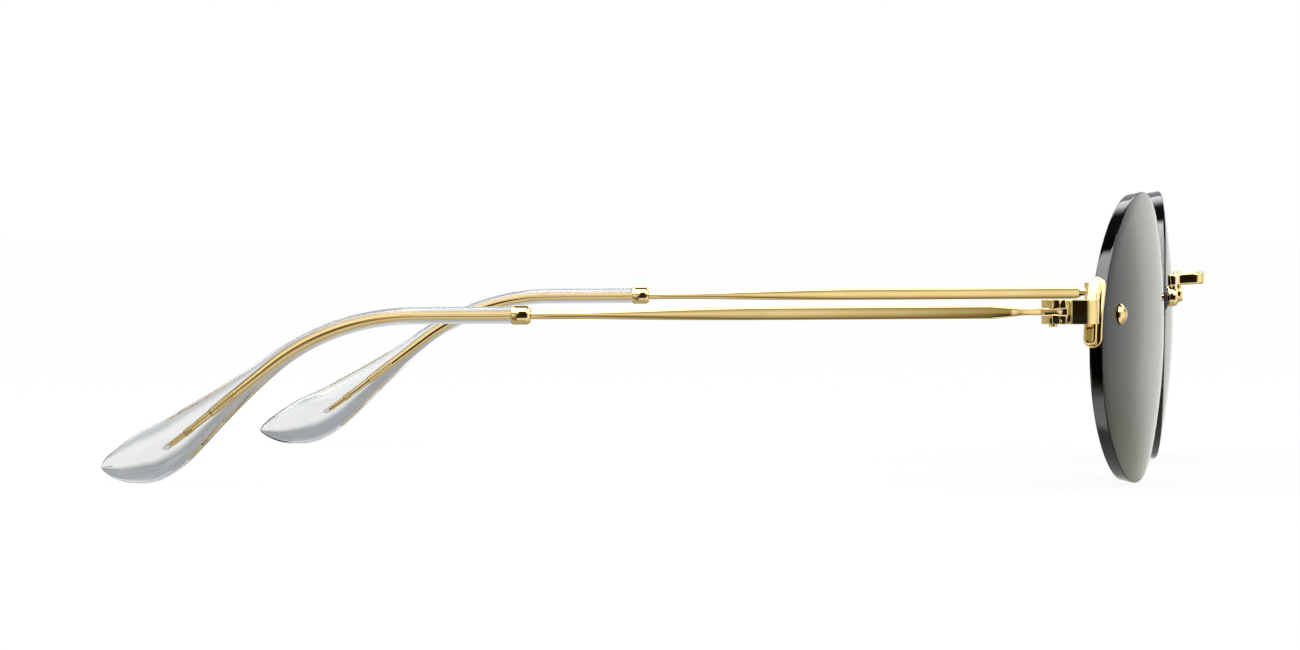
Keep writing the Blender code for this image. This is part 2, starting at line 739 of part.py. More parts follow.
def make_bridge():
    half = [Vector((x, y, BAR_HEIGHT_MIDDLE)) for x, y in bridge_path()]
    mirror = Matrix.Diagonal((-1, 1, 1))
    path = half + [mirror @ point for point in reversed(half)]
    rings = []
    for i, point in enumerate(path):
        ahead = path[min(i + 1, len(path) - 1)] - path[max(i - 1, 0)]
        across = Vector((ahead.y, -ahead.x, 0)).normalized()
        lift = UP * BAR_CROSS_LIFT if abs(point.x) <= BAR_CROSS else Vector()
        rings.append(rounded_ring(point + lift, across, UP, BAR_THICKNESS / 2, BAR_HEIGHT / 2, BAR_CORNER))
    bridge = loft(rings)
    for side in (Matrix.Identity(4), Matrix.Diagonal((-1, 1, 1, 1))):
        frame = side @ NASAL_FRAME
        round_start = BOSS_WIDTH / 2 - BOSS_ROUND
        shoulder = BOSS_ROUND * math.sin(math.pi / 4)
        boss = turned([
            (0, BOSS_FRONT),
            (round_start, BOSS_FRONT),
            (round_start + shoulder, BOSS_FRONT - BOSS_ROUND + shoulder),
            (BOSS_WIDTH / 2, BOSS_FRONT - BOSS_ROUND),
            (BOSS_WIDTH / 2, BOSS_BACK),
            (0, BOSS_BACK),
        ])
        bridge = join(bridge, outward(moved(boss, frame)))
        centre = side @ BOSS_PLACE
        neck = box(
            (centre.x - NECK_WIDTH / 2, centre.y - NECK_DEPTH / 2, centre.z),
            (centre.x + NECK_WIDTH / 2, centre.y + NECK_DEPTH / 2, BAR_HEIGHT_MIDDLE))
        bridge = join(bridge, neck)
        bore = cylinder(SHANK_HOLE, BOSS_BACK - OVERLAP, BOSS_BACK + BOSS_BORE_DEPTH)
        bridge = cut(bridge, outward(moved(bore, frame)))
    return bridge


def make_bridge_washer():
    sleeve = LENS_BORE / 2 - BORE_GAP
    profile = [
        (SHANK_HOLE, SEAT_GAP + WASHER_HEIGHT),
        (WASHER_WIDTH / 2, SEAT_GAP + WASHER_HEIGHT),
        (WASHER_WIDTH / 2, SEAT_GAP),
        (sleeve, SEAT_GAP),
        (sleeve, LENS_BACK + 2 * SEAT_GAP),
        (SHANK_HOLE, LENS_BACK + 2 * SEAT_GAP),
    ]
    return moved(turned(profile), NASAL_FRAME)


def make_bridge_rear_washer():
    profile = [
        (SHANK_HOLE, LENS_BACK),
        (REAR_WASHER_WIDTH / 2, LENS_BACK),
        (REAR_WASHER_WIDTH / 2, REAR_WASHER_BACK),
        (SHANK_HOLE, REAR_WASHER_BACK),
    ]
    return moved(turned(profile), NASAL_FRAME)


def make_bridge_screw():
    back = CHEESE_FRONT - CHEESE_HEIGHT
    end = BOSS_BACK + BOSS_BORE_DEPTH - SCREW_OVERRUN
    screw = turned([
        (0, end),
        (SCREW_SHANK / 2, end),
        (SCREW_SHANK / 2, CHEESE_FRONT),
        (CHEESE_WIDTH / 2, CHEESE_FRONT),
        (CHEESE_WIDTH / 2, back),
        (0, back),
    ])
    screw = cut(screw, driver_slot(back - OVERLAP, CHEESE_WIDTH, OVERLAP + DRIVER_DEPTH))
    return moved(screw, NASAL_FRAME)


# Nose pad frame: X across the pad toward the back, Y up along it, Z out of its face toward the nose
PAD_FACE = Vector((-PAD_SPACING / 2, HINGE.y + PAD_BEHIND_HINGE_LINE, PAD_HEIGHT))
PAD_NORMAL = Vector((
    math.cos(PAD_FLARE) * math.cos(PAD_LEAN), math.sin(PAD_FLARE) * math.cos(PAD_LEAN), -math.sin(PAD_LEAN)))
PAD_FRAME = axis_frame(PAD_FACE, PAD_NORMAL, Vector((0, 1, 0)))

# Levels behind the pad's face
PAD_REAR = -PAD_CROWN - PAD_BACK
INSERT_FRONT = PAD_REAR - SEAT_GAP
INSERT_REAR = INSERT_FRONT - INSERT_THICKNESS
PAD_AXIS = INSERT_REAR - POST_REACH
BOX_FRONT = INSERT_REAR - BOX_MOUTH_GAP
BOX_FLOOR = PAD_AXIS - POST_WIDTH / 2 - BORE_GAP
BOX_BACK = BOX_FLOOR - BOX_WALL
BOX_HALF = POST_THICKNESS / 2 + BORE_GAP + BOX_WALL
PAD_PIVOT = PAD_FRAME @ Vector((0, 0, PAD_AXIS))
AXIS_TO_X = Matrix.Rotation(math.pi / 2, 4, "Y")


def make_nose_pad():
    shape = bmesh.new()
    bmesh.ops.create_uvsphere(shape, u_segments=PAD_SEGMENTS, v_segments=PAD_RINGS, radius=1.0)
    for vert in shape.verts:
        level = max(vert.co.z * PAD_CROWN, -PAD_BACK)
        vert.co = (vert.co.x * PAD_WIDTH / 2, vert.co.y * PAD_LENGTH / 2, level - PAD_CROWN)
    return moved(outward(shape), PAD_FRAME)


def make_pad_insert():
    plate = cylinder(1.0, INSERT_REAR, INSERT_FRONT)
    moved(plate, Matrix.Diagonal((INSERT_WIDTH / 2, INSERT_LENGTH / 2, 1.0, 1.0)))
    half = POST_THICKNESS / 2
    root = INSERT_FRONT - INSERT_THICKNESS / 2
    post = box((-half, -POST_WIDTH / 2, PAD_AXIS), (half, POST_WIDTH / 2, root))
    knuckle = moved(cylinder(POST_WIDTH / 2, -half, half), Matrix.Translation((0, 0, PAD_AXIS)) @ AXIS_TO_X)
    insert = join(join(plate, post), knuckle)
    eye = cylinder(PAD_SCREW / 2 + BORE_GAP, -POST_WIDTH, POST_WIDTH, steps=PIN_STEPS)
    insert = cut(insert, moved(eye, Matrix.Translation((0, 0, PAD_AXIS)) @ AXIS_TO_X))
    return moved(insert, PAD_FRAME)


def make_pad_box():
    inside = BOX_HALF - BOX_WALL
    shape = box((-BOX_HALF, -BOX_LENGTH / 2, BOX_BACK), (BOX_HALF, BOX_LENGTH / 2, BOX_FRONT))
    channel = box((-inside, -BOX_LENGTH, BOX_FLOOR), (inside, BOX_LENGTH, BOX_FRONT + OVERLAP))
    shape = cut(shape, channel)
    eye = cylinder(PAD_SCREW / 2 + BORE_GAP, -2 * BOX_HALF, 2 * BOX_HALF, steps=PIN_STEPS)
    shape = cut(shape, moved(eye, Matrix.Translation((0, 0, PAD_AXIS)) @ AXIS_TO_X))
    return moved(shape, PAD_FRAME)


def make_pad_screw():
    head = BOX_HALF + SEAT_GAP
    top = head + PAD_SCREW_HEAD_HEIGHT
    screw = turned([
        (0, top),
        (PAD_SCREW_HEAD / 2, top),
        (PAD_SCREW_HEAD / 2, head),
        (PAD_SCREW / 2, head),
        (PAD_SCREW / 2, -BOX_HALF),
        (0, -BOX_HALF),
    ], PIN_STEPS)
    return moved(screw, PAD_FRAME @ Matrix.Translation((0, 0, PAD_AXIS)) @ AXIS_TO_X)


def make_pad_arm():
    radius = ARM_WIRE / 2
    end = PAD_FRAME @ Vector((0, 0, BOX_BACK - SEAT_GAP))
    outward_end = PAD_FRAME @ Vector((0, 0, BOX_BACK - SEAT_GAP - ARM_LOOP_OUT))
    bar_back = BOSS_PLACE.y + BAR_THICKNESS / 2
    start = Vector((-BAR_ELBOW - BAR_THICKNESS / 2, bar_back + SEAT_GAP, BAR_HEIGHT_MIDDLE))
    past_lens = start + Vector((0, LENS_THICKNESS + BOSS_HEIGHT + ARM_LOOP_OUT, 0))
    loop_back = max(past_lens.y, outward_end.y) + ARM_LOOP_BACK
    across = outward_end.x - past_lens.x
    drop = outward_end.z - past_lens.z
    entry_level = past_lens.z + drop * ARM_DROP_ENTRY
    exit_level = past_lens.z + drop * ARM_DROP_EXIT
    return_level = past_lens.z + drop * ARM_DROP_RETURN
    route = [
        start,
        past_lens,
        Vector((past_lens.x + across * ARM_LOOP_ENTRY, loop_back - radius, entry_level)),
        Vector((past_lens.x + across * ARM_LOOP_EXIT, loop_back - radius, exit_level)),
        Vector((outward_end.x - radius, (loop_back + outward_end.y) / 2, return_level)),
        outward_end,
        end,
    ]
    curve = bpy.data.curves.new("arm wire", "CURVE")
    curve.dimensions = "3D"
    curve.bevel_depth = radius
    curve.bevel_resolution = 2
    curve.use_fill_caps = True
    spline = curve.splines.new("POLY")
    points = smooth_route(route)
    spline.points.add(len(points) - 1)
    for knot, point in zip(spline.points, points):
        knot.co = (*point, 1.0)
    item = bpy.data.objects.new("arm wire", curve)
    bpy.context.scene.collection.objects.link(item)
    shape = outward(evaluated_shape(item))
    bpy.data.objects.remove(item, do_unlink=True)
    bpy.data.curves.remove(curve)
    return shape


def smooth_route(route, steps=ARM_STEPS):
    """Points on a smooth curve through a route, straight at its two ends."""
    padded = [2 * route[0] - route[1]] + route + [2 * route[-1] - route[-2]]
    points = []
    for a, b, c, d in zip(padded, padded[1:], padded[2:], padded[3:]):
        for i in range(steps):
            t = i / steps
            bend = (2 * a - 5 * b + 4 * c - d) * t ** 2
            twist = (3 * b - a - 3 * c + d) * t ** 3
            points.append((2 * b + (c - a) * t + bend + twist) / 2)
    points.append(route[-1])
    return points


def mirrored(shape):
    other = shape.copy()
    moved(other, Matrix.Diagonal((-1, 1, 1, 1)))
    bmesh.ops.reverse_faces(other, faces=other.faces)
    return other


def add_part(name, shape, finish, group, origin):
    """Put a shape on its own object whose origin is the point given, and use the shape up."""
    moved(shape, Matrix.Translation(-origin))
    mesh = bpy.data.meshes.new(name)
    shape.to_mesh(mesh)
    shape.free()
    mesh.materials.append(finish)
    mesh.shade_smooth()
    mesh.set_sharp_from_angle(angle=SMOOTH_EDGE)
    item = bpy.data.objects.new(name, mesh)
    item.location = origin
    group.objects.link(item)


def add_pair(name, shape, finish, group, origin):
    other_side = Vector((-origin.x, origin.y, origin.z))
    left = mirrored(shape)
    add_part(name + "_right", shape, finish, group, origin)
    add_part(name + "_left", left, finish, group, other_side)


def main():
    clear_scene()
    group = new_collection("rimless_glasses")
    gold = new_material("gold plate", (0.78, 0.55, 0.22), 1.0, 0.12)
    tint = new_material("grey-green lens", (0.10, 0.11, 0.09), 0.0, 0.03, 0.6)
    clear = new_material("clear tip", (0.92, 0.93, 0.93), 0.0, 0.05, 0.95)
    bushing = new_material("clear bushing", (0.80, 0.80, 0.78), 0.0, 0.25, 0.5)
    dark = new_material("dark washer", (0.03, 0.03, 0.035), 0.0, 0.35)
    soft = new_material("soft pad", (0.85, 0.84, 0.80), 0.0, 0.40, 0.3)
    still = Vector()

    add_pair("lens", make_lens(), tint, group, LENS_PLACE)
    add_pair("endpiece", make_endpiece(), gold, group, still)
    add_pair("endpiece_screw", make_dome_screw(), gold, group, still)
    add_pair("endpiece_bush", make_endpiece_bush(), bushing, group, still)
    add_pair("endpiece_nut", make_endpiece_nut(), gold, group, still)
    add_part("bridge", make_bridge(), gold, group, still)
    add_pair("bridge_washer", make_bridge_washer(), dark, group, still)
    add_pair("bridge_rear_washer", make_bridge_rear_washer(), gold, group, still)
    add_pair("bridge_screw", make_bridge_screw(), gold, group, still)
    add_pair("pad_arm", make_pad_arm(), gold, group, still)
    add_pair("pad_box", make_pad_box(), gold, group, still)
    add_pair("pad_screw", make_pad_screw(), gold, group, still)
    add_pair("pad_insert", make_pad_insert(), clear, group, PAD_PIVOT)
    add_pair("nose_pad", make_nose_pad(), soft, group, PAD_PIVOT)
    add_pair("hinge_screw", make_hinge_screw(), gold, group, HINGE)
    add_pair("temple", make_temple(), gold, group, HINGE)
    add_pair("collar", make_collar(), gold, group, HINGE)
    add_pair("tip", make_tip(), clear, group, HINGE)


main()
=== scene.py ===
import math
import bmesh
import bpy
from mathutils import Matrix, Vector


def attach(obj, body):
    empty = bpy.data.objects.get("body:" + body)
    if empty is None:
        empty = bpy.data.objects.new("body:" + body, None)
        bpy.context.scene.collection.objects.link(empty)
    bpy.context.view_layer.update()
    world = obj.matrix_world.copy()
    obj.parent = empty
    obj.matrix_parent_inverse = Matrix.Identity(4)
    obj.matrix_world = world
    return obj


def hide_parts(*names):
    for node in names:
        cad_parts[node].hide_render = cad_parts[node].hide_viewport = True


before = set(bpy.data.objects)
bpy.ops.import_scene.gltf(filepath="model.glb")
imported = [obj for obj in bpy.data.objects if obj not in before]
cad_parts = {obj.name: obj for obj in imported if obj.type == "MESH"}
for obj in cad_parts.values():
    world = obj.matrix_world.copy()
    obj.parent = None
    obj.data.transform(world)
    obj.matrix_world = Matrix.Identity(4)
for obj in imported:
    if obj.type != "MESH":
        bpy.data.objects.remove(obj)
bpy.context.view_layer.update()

print("frame loaded")

scene = bpy.context.scene
scene.view_settings.view_transform = "Standard"
mm = 0.001
up = Vector((0, 0, 1))
mirrorX = Matrix.Diagonal((-1, 1, 1, 1))


# small mesh helpers

def skinRings(rings, closeFirst=True, closeLast=True):
    bm = bmesh.new()
    rows = [[bm.verts.new(p) for p in ring] for ring in rings]
    count = len(rings[0])
    for row, nextRow in zip(rows, rows[1:]):
        for i in range(count):
            j = (i + 1) % count
            bm.faces.new((row[i], row[j], nextRow[j], nextRow[i]))
    if closeFirst:
        bm.faces.new(rows[0])
    if closeLast:
        bm.faces.new(rows[-1])
    return bm


def turnProfile(profile, steps=48):
    bm = bmesh.new()
    rows = []
    for radius, height in profile:
        if radius < 1e-9:
            rows.append([bm.verts.new((0, 0, height))])
        else:
            angles = [math.tau * i / steps for i in range(steps)]
            rows.append([bm.verts.new((radius * math.cos(a), radius * math.sin(a), height)) for a in angles])
    if profile[0][0] > 1e-9 and profile[-1][0] > 1e-9:
        rows.append(rows[0])  # a ring, so the profile closes on itself
    for row, nextRow in zip(rows, rows[1:]):
        for i in range(steps):
            j = (i + 1) % steps
            if len(row) == 1:
                bm.faces.new((row[0], nextRow[j], nextRow[i]))
            elif len(nextRow) == 1:
                bm.faces.new((row[i], row[j], nextRow[0]))
            else:
                bm.faces.new((row[i], row[j], nextRow[j], nextRow[i]))
    return bm


def rod(radius, low, high, steps=32):
    return turnProfile([(0, high), (radius, high), (radius, low), (0, low)], steps)


def raisedOutline(outline, low, high):
    return skinRings([[Vector((x, y, z)) for x, y in outline] for z in (low, high)])


def roundEdges(bm, width, angle=50, segments=3):
    bmesh.ops.recalc_face_normals(bm, faces=bm.faces)
    edges = [e for e in bm.edges if len(e.link_faces) == 2 and e.calc_face_angle() > math.radians(angle)]
    bmesh.ops.bevel(bm, geom=edges, offset=width, segments=segments, profile=0.5, affect="EDGES",
                    clamp_overlap=True)
    return bm


def arcPoints(centre, radius, start, end, steps):
    angles = [math.radians(start + (end - start) * i / steps) for i in range(steps + 1)]
    return [(centre[0] + radius * math.cos(a), centre[1] + radius * math.sin(a)) for a in angles]


def roundedRing(centre, across, upward, halfWidth, halfHeight, corner, perCorner=6):
    ring = []
    for quarter, (side, lift) in enumerate(((1, 1), (-1, 1), (-1, -1), (1, -1))):
        for i in range(perCorner + 1):
            a = math.tau * (quarter + i / perCorner) / 4
            ring.append(centre + across * (side * (halfWidth - corner) + corner * math.cos(a))
                        + upward * (lift * (halfHeight - corner) + corner * math.sin(a)))
    return ring


def axisFrame(origin, axis, across):
    z = axis.normalized()
    x = (across - z * across.dot(z)).normalized()
    return Matrix.Translation(origin) @ Matrix((x, z.cross(x), z)).transposed().to_4x4()


def moved(bm, matrix):
    bmesh.ops.transform(bm, matrix=matrix, verts=bm.verts)
    return bm


def joined(*shells):
    whole = bmesh.new()
    for bm in shells:
        bmesh.ops.recalc_face_normals(bm, faces=bm.faces)
        mesh = bpy.data.meshes.new("shell")
        bm.to_mesh(mesh)
        bm.free()
        whole.from_mesh(mesh)
        bpy.data.meshes.remove(mesh)
    return whole


def carved(bm, *cutters):
    for cutter in cutters:
        items = []
        for shape in (bm, cutter):
            bmesh.ops.recalc_face_normals(shape, faces=shape.faces)
            mesh = bpy.data.meshes.new("carve")
            shape.to_mesh(mesh)
            shape.free()
            items.append(bpy.data.objects.new("carve", mesh))
            scene.collection.objects.link(items[-1])
        cut = items[0].modifiers.new("cut", "BOOLEAN")
        cut.object = items[1]
        cut.solver = "EXACT"
        depsgraph = bpy.context.evaluated_depsgraph_get()
        done = bpy.data.meshes.new_from_object(items[0].evaluated_get(depsgraph))
        bm = bmesh.new()
        bm.from_mesh(done)
        bmesh.ops.remove_doubles(bm, verts=bm.verts, dist=1e-7)
        bpy.data.meshes.remove(done)
        for item in items:
            mesh = item.data
            bpy.data.objects.remove(item, do_unlink=True)
            bpy.data.meshes.remove(mesh)
    return bm


def smooth(share):
    share = min(1.0, max(0.0, share))
    return share * share * (3 - 2 * share)


def addPiece(name, bm, finish, body, nodes, sharp=38):
    bmesh.ops.recalc_face_normals(bm, faces=bm.faces)
    mesh = bpy.data.meshes.new(name)
    bm.to_mesh(mesh)
    bm.free()
    mesh.materials.append(finish)
    mesh.shade_smooth()
    mesh.set_sharp_from_angle(angle=math.radians(sharp))
    piece = bpy.data.objects.new(name, mesh)
    scene.collection.objects.link(piece)
    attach(piece, body)
    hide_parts(*nodes)
    return piece


def addPair(name, bm, finish, bodies, node, sharp=38):
    other = moved(bm.copy(), mirrorX)
    return (addPiece(name + "Right", bm, finish, bodies[0], [node + "_right"], sharp),
            addPiece(name + "Left", other, finish, bodies[1], [node + "_left"], sharp))


frontBodies = ("front", "front")
templeBodies = ("right_temple", "left_temple")
padBodies = ("right_pad", "left_pad")


# shader helpers and the effects that several finishes share

def nodeGroup(name, inputs, outputs):
    tree = bpy.data.node_groups.new(name, "ShaderNodeTree")
    for label, value in inputs.items():
        kind = "NodeSocketColor" if isinstance(value, tuple) else "NodeSocketFloat"
        tree.interface.new_socket(label, in_out="INPUT", socket_type=kind).default_value = value
    for label in outputs:
        kind = "NodeSocketColor" if label == "Color" else "NodeSocketFloat"
        tree.interface.new_socket(label, in_out="OUTPUT", socket_type=kind)
    return tree, tree.nodes.new("NodeGroupInput"), tree.nodes.new("NodeGroupOutput")


def addNode(tree, kind, **settings):
    node = tree.nodes.new(kind)
    for key, value in settings.items():
        setattr(node, key, value)
    return node


def mathNode(tree, operation, a, b=None, c=None):
    node = addNode(tree, "ShaderNodeMath", operation=operation)
    for socket, value in zip(node.inputs, (a, b, c)):
        if isinstance(value, bpy.types.NodeSocket):
            tree.links.new(value, socket)
        elif value is not None:
            socket.default_value = value
    return node.outputs[0]


def rangeNode(tree, value, fromMin, fromMax, toMin, toMax, smoothly=False):
    node = addNode(tree, "ShaderNodeMapRange")
    if smoothly:
        node.interpolation_type = "SMOOTHSTEP"
    for socket, number in zip(node.inputs[1:5], (fromMin, fromMax, toMin, toMax)):
        if isinstance(number, bpy.types.NodeSocket):
            tree.links.new(number, socket)
        else:
            socket.default_value = number
    tree.links.new(value, node.inputs[0])
    return node.outputs[0]


def mixNode(tree, factor, a, b):
    node = addNode(tree, "ShaderNodeMix", data_type="RGBA")
    for socket, value in zip((node.inputs[0], node.inputs[6], node.inputs[7]), (factor, a, b)):
        if isinstance(value, bpy.types.NodeSocket):
            tree.links.new(value, socket)
        else:
            socket.default_value = value
    return node.outputs[2]


def noiseNode(tree, place, scale, detail=3.0, stretch=None):
    if stretch:
        mapping = addNode(tree, "ShaderNodeMapping")
        mapping.inputs["Scale"].default_value = stretch
        tree.links.new(place, mapping.inputs["Vector"])
        place = mapping.outputs[0]
    node = addNode(tree, "ShaderNodeTexNoise")
    node.inputs["Detail"].default_value = detail
    if isinstance(scale, bpy.types.NodeSocket):
        tree.links.new(scale, node.inputs["Scale"])
    else:
        node.inputs["Scale"].default_value = scale
    tree.links.new(place, node.inputs["Vector"])
    return node.outputs["Fac"]


# plating tone: a warm metal that drifts a little in shade, paler where an edge is rubbed
platingTree, given, result = nodeGroup("platingTone", {
    "Bright": (0.9, 0.66, 0.31, 1), "Deep": (0.82, 0.56, 0.22, 1), "Rubbed": (0.95, 0.80, 0.52, 1),
    "Scale": 180.0}, ["Color"])
place = addNode(platingTree, "ShaderNodeTexCoord").outputs["Object"]
drift = rangeNode(platingTree, noiseNode(platingTree, place, given.outputs["Scale"]), 0.35, 0.65, 0.0, 1.0)
tone = mixNode(platingTree, drift, given.outputs["Bright"], given.outputs["Deep"])
edge = addNode(platingTree, "ShaderNodeNewGeometry").outputs["Pointiness"]
rub = rangeNode(platingTree, edge, 0.54, 0.62, 0.0, 0.6)
platingTree.links.new(mixNode(platingTree, rub, tone, given.outputs["Rubbed"]), result.inputs["Color"])

# handling: faint finger marks that dull a polished surface in patches
handlingTree, given, result = nodeGroup("handlingMarks", {
    "Clean": 0.08, "Marked": 0.18, "Scale": 120.0}, ["Roughness", "Mask"])
place = addNode(handlingTree, "ShaderNodeTexCoord").outputs["Object"]
patch = noiseNode(handlingTree, place, given.outputs["Scale"], 5.0)
patch = rangeNode(handlingTree, patch, 0.48, 0.72, 0.0, 1.0, True)
handlingTree.links.new(patch, result.inputs["Mask"])
dulled = rangeNode(handlingTree, patch, 0.0, 1.0, given.outputs["Clean"], given.outputs["Marked"])
handlingTree.links.new(dulled, result.inputs["Roughness"])

# hairlines: polishing lines and small knocks, as a height
hairlineTree, given, result = nodeGroup("hairlines", {"Scale": 900.0, "Knocks": 0.3}, ["Height"])
place = addNode(hairlineTree, "ShaderNodeTexCoord").outputs["Object"]
lines = noiseNode(hairlineTree, place, given.outputs["Scale"], 2.0, (6.0, 0.35, 6.0))
knocks = noiseNode(hairlineTree, place, given.outputs["Scale"], 1.0)
knocks = rangeNode(hairlineTree, knocks, 0.7, 0.8, 0.0, 1.0)
knocks = mathNode(hairlineTree, "MULTIPLY", knocks, given.outputs["Knocks"])
hairlineTree.links.new(mathNode(hairlineTree, "SUBTRACT", lines, knocks), result.inputs["Height"])

# settled dust: sparse pale flecks, as a mask
dustTree, given, result = nodeGroup("settledDust", {"Scale": 1400.0, "Amount": 0.25}, ["Mask"])
place = addNode(dustTree, "ShaderNodeTexCoord").outputs["Object"]
fleck = rangeNode(dustTree, noiseNode(dustTree, place, given.outputs["Scale"], 0.0), 0.74, 0.80, 0.0, 1.0)
facing = addNode(dustTree, "ShaderNodeSeparateXYZ")
dustTree.links.new(addNode(dustTree, "ShaderNodeNewGeometry").outputs["Normal"], facing.inputs[0])
upward = rangeNode(dustTree, facing.outputs["Z"], -0.2, 0.9, 0.15, 1.0)
fleck = mathNode(dustTree, "MULTIPLY", fleck, upward)
dustTree.links.new(mathNode(dustTree, "MULTIPLY", fleck, given.outputs["Amount"]), result.inputs["Mask"])


def newFinish(name):
    finish = bpy.data.materials.new(name)
    finish.use_nodes = True
    tree = finish.node_tree
    return finish, tree, tree.nodes["Principled BSDF"]


def useGroup(tree, group, **values):
    node = addNode(tree, "ShaderNodeGroup", node_tree=group)
    for key, value in values.items():
        node.inputs[key].default_value = value
    return node


def bumpFrom(tree, height, shader, strength, distance):
    bump = addNode(tree, "ShaderNodeBump")
    bump.inputs["Strength"].default_value = strength
    bump.inputs["Distance"].default_value = distance
    tree.links.new(height, bump.inputs["Height"])
    tree.links.new(bump.outputs[0], shader.inputs["Normal"])


hairDepth = 0.01 * mm


def goldFinish(name, bright, deep, clean, marked, bumpStrength):
    finish, tree, shader = newFinish(name)
    shader.inputs["Metallic"].default_value = 1.0
    tone = useGroup(tree, platingTree, Bright=(*bright, 1), Deep=(*deep, 1))
    marks = useGroup(tree, handlingTree, Clean=clean, Marked=marked)
    dust = useGroup(tree, dustTree, Amount=0.12)
    tree.links.new(mixNode(tree, dust.outputs["Mask"], tone.outputs["Color"], (0.8, 0.76, 0.68, 1)),
                   shader.inputs["Base Color"])
    tree.links.new(marks.outputs["Roughness"], shader.inputs["Roughness"])
    bumpFrom(tree, useGroup(tree, hairlineTree).outputs["Height"], shader, bumpStrength, hairDepth)
    return finish


def clearFinish(name, colour, marked, clean, rough, ior, transmission, dustAmount, dustColour):
    finish, tree, shader = newFinish(name)
    shader.inputs["Transmission Weight"].default_value = transmission
    shader.inputs["IOR"].default_value = ior
    marks = useGroup(tree, handlingTree, Clean=clean, Marked=rough, Scale=70.0)
    dust = useGroup(tree, dustTree, Amount=dustAmount)
    tone = mixNode(tree, marks.outputs["Mask"], (*colour, 1), (*marked, 1))
    tree.links.new(mixNode(tree, dust.outputs["Mask"], tone, (*dustColour, 1)), shader.inputs["Base Color"])
    tree.links.new(marks.outputs["Roughness"], shader.inputs["Roughness"])
    lines = useGroup(tree, hairlineTree, Scale=500.0, Knocks=0.15)
    bumpFrom(tree, lines.outputs["Height"], shader, 0.02, hairDepth)
    return finish


gold = goldFinish("polishedGold", bright=(0.90, 0.68, 0.33), deep=(0.87, 0.63, 0.28), clean=0.03, marked=0.07,
                  bumpStrength=0.05)
screwGold = goldFinish("screwGold", bright=(0.88, 0.65, 0.30), deep=(0.82, 0.57, 0.24), clean=0.05,
                       marked=0.10, bumpStrength=0.08)
tintedGlass = clearFinish("tintedGlass", colour=(0.94, 0.95, 0.94), marked=(0.92, 0.93, 0.92), clean=0.0,
                          rough=0.02, ior=1.5, transmission=1.0, dustAmount=0.03, dustColour=(0.6, 0.6, 0.58))
glassTree = tintedGlass.node_tree
bodyTint = addNode(glassTree, "ShaderNodeVolumeAbsorption")
bodyTint.inputs["Color"].default_value = (0.08, 0.12, 0.03, 1)
bodyTint.inputs["Density"].default_value = 4000.0
glassTree.links.new(bodyTint.outputs[0], glassTree.nodes["Material Output"].inputs["Volume"])
clearAcetate = clearFinish("clearAcetate", colour=(0.975, 0.98, 0.985), marked=(0.965, 0.972, 0.978),
                           clean=0.0, rough=0.05, ior=1.49, transmission=1.0, dustAmount=0.02,
                           dustColour=(0.9, 0.9, 0.9))
clearPlastic = clearFinish("clearPlastic", colour=(0.86, 0.86, 0.84), marked=(0.80, 0.80, 0.78), clean=0.15,
                           rough=0.3, ior=1.5, transmission=0.6, dustAmount=0.05,
                           dustColour=(0.85, 0.85, 0.83))
softSilicone = clearFinish("softSilicone", colour=(0.90, 0.89, 0.86), marked=(0.86, 0.84, 0.79), clean=0.28,
                           rough=0.42, ior=1.41, transmission=0.55, dustAmount=0.08,
                           dustColour=(0.9, 0.9, 0.88))


def washerFinish():
    finish, tree, shader = newFinish("darkNylon")
    place = addNode(tree, "ShaderNodeTexCoord").outputs["Object"]
    shade = noiseNode(tree, place, 900.0)
    dust = useGroup(tree, dustTree, Amount=0.2)
    tone = mixNode(tree, shade, (0.045, 0.035, 0.050, 1), (0.075, 0.06, 0.08, 1))
    tone = mixNode(tree, dust.outputs["Mask"], tone, (0.4, 0.38, 0.38, 1))
    tree.links.new(tone, shader.inputs["Base Color"])
    marks = useGroup(tree, handlingTree, Clean=0.28, Marked=0.4)
    tree.links.new(marks.outputs["Roughness"], shader.inputs["Roughness"])
    bumpFrom(tree, shade, shader, 0.1, 0.00002)
    return finish


darkNylon = washerFinish()
print("finishes ready")


# hinge places and fits, shared by the pieces round them
seatGap = 0.03 * mm
lensSeatGap = 0.08 * mm
boreGap = 0.07 * mm
hinge = Vector((-66.0 * mm, -59.35 * mm, 25.7 * mm))


# lens
lensSize = {"width": 52.0 * mm, "height": 42.6 * mm, "thickness": 2.1 * mm, "curve": 105.0 * mm,
            "gap": 19.0 * mm, "setback": 13.3 * mm, "wrap": 7.3, "tilt": 0.85, "edge": 0.18 * mm,
            "bore": 2.0 * mm, "temporalBore": (-19.3 * mm, 3.8 * mm), "nasalBore": (21.3 * mm, 5.5 * mm),
            "steps": 160, "rings": 14}
drillPast = 0.4 * mm
lensDrop = lensSize["height"] ** 2 / (8 * lensSize["curve"])
lensTilt = math.radians(lensSize["tilt"])
lensPlace = Vector((-(lensSize["gap"] + lensSize["width"]) / 2, hinge.y - lensSize["setback"],
                    lensSize["height"] / 2 * math.cos(lensTilt) - lensDrop * math.sin(lensTilt)))
lensFrame = (Matrix.Translation(lensPlace) @ Matrix.Rotation(lensTilt, 4, "X")
             @ Matrix.Rotation(-math.radians(lensSize["wrap"]), 4, "Z"))


def lensSag(x, z):
    return lensSize["curve"] - math.sqrt(lensSize["curve"] ** 2 - x * x - z * z)


def lensPoint(x, z, depth):
    centre = Vector((0, lensSize["curve"], 0))
    return centre + (Vector((x, lensSag(x, z), z)) - centre) * (1 - depth / lensSize["curve"])


def lensBoreFrame(x, z):
    sag = lensSag(x, z)
    outward = Vector((x, sag - lensSize["curve"], z))
    return lensFrame @ axisFrame(Vector((x, sag, z)), outward, Vector((1, 0, 0)))


temporalFrame = lensBoreFrame(*lensSize["temporalBore"])
nasalFrame = lensBoreFrame(*lensSize["nasalBore"])


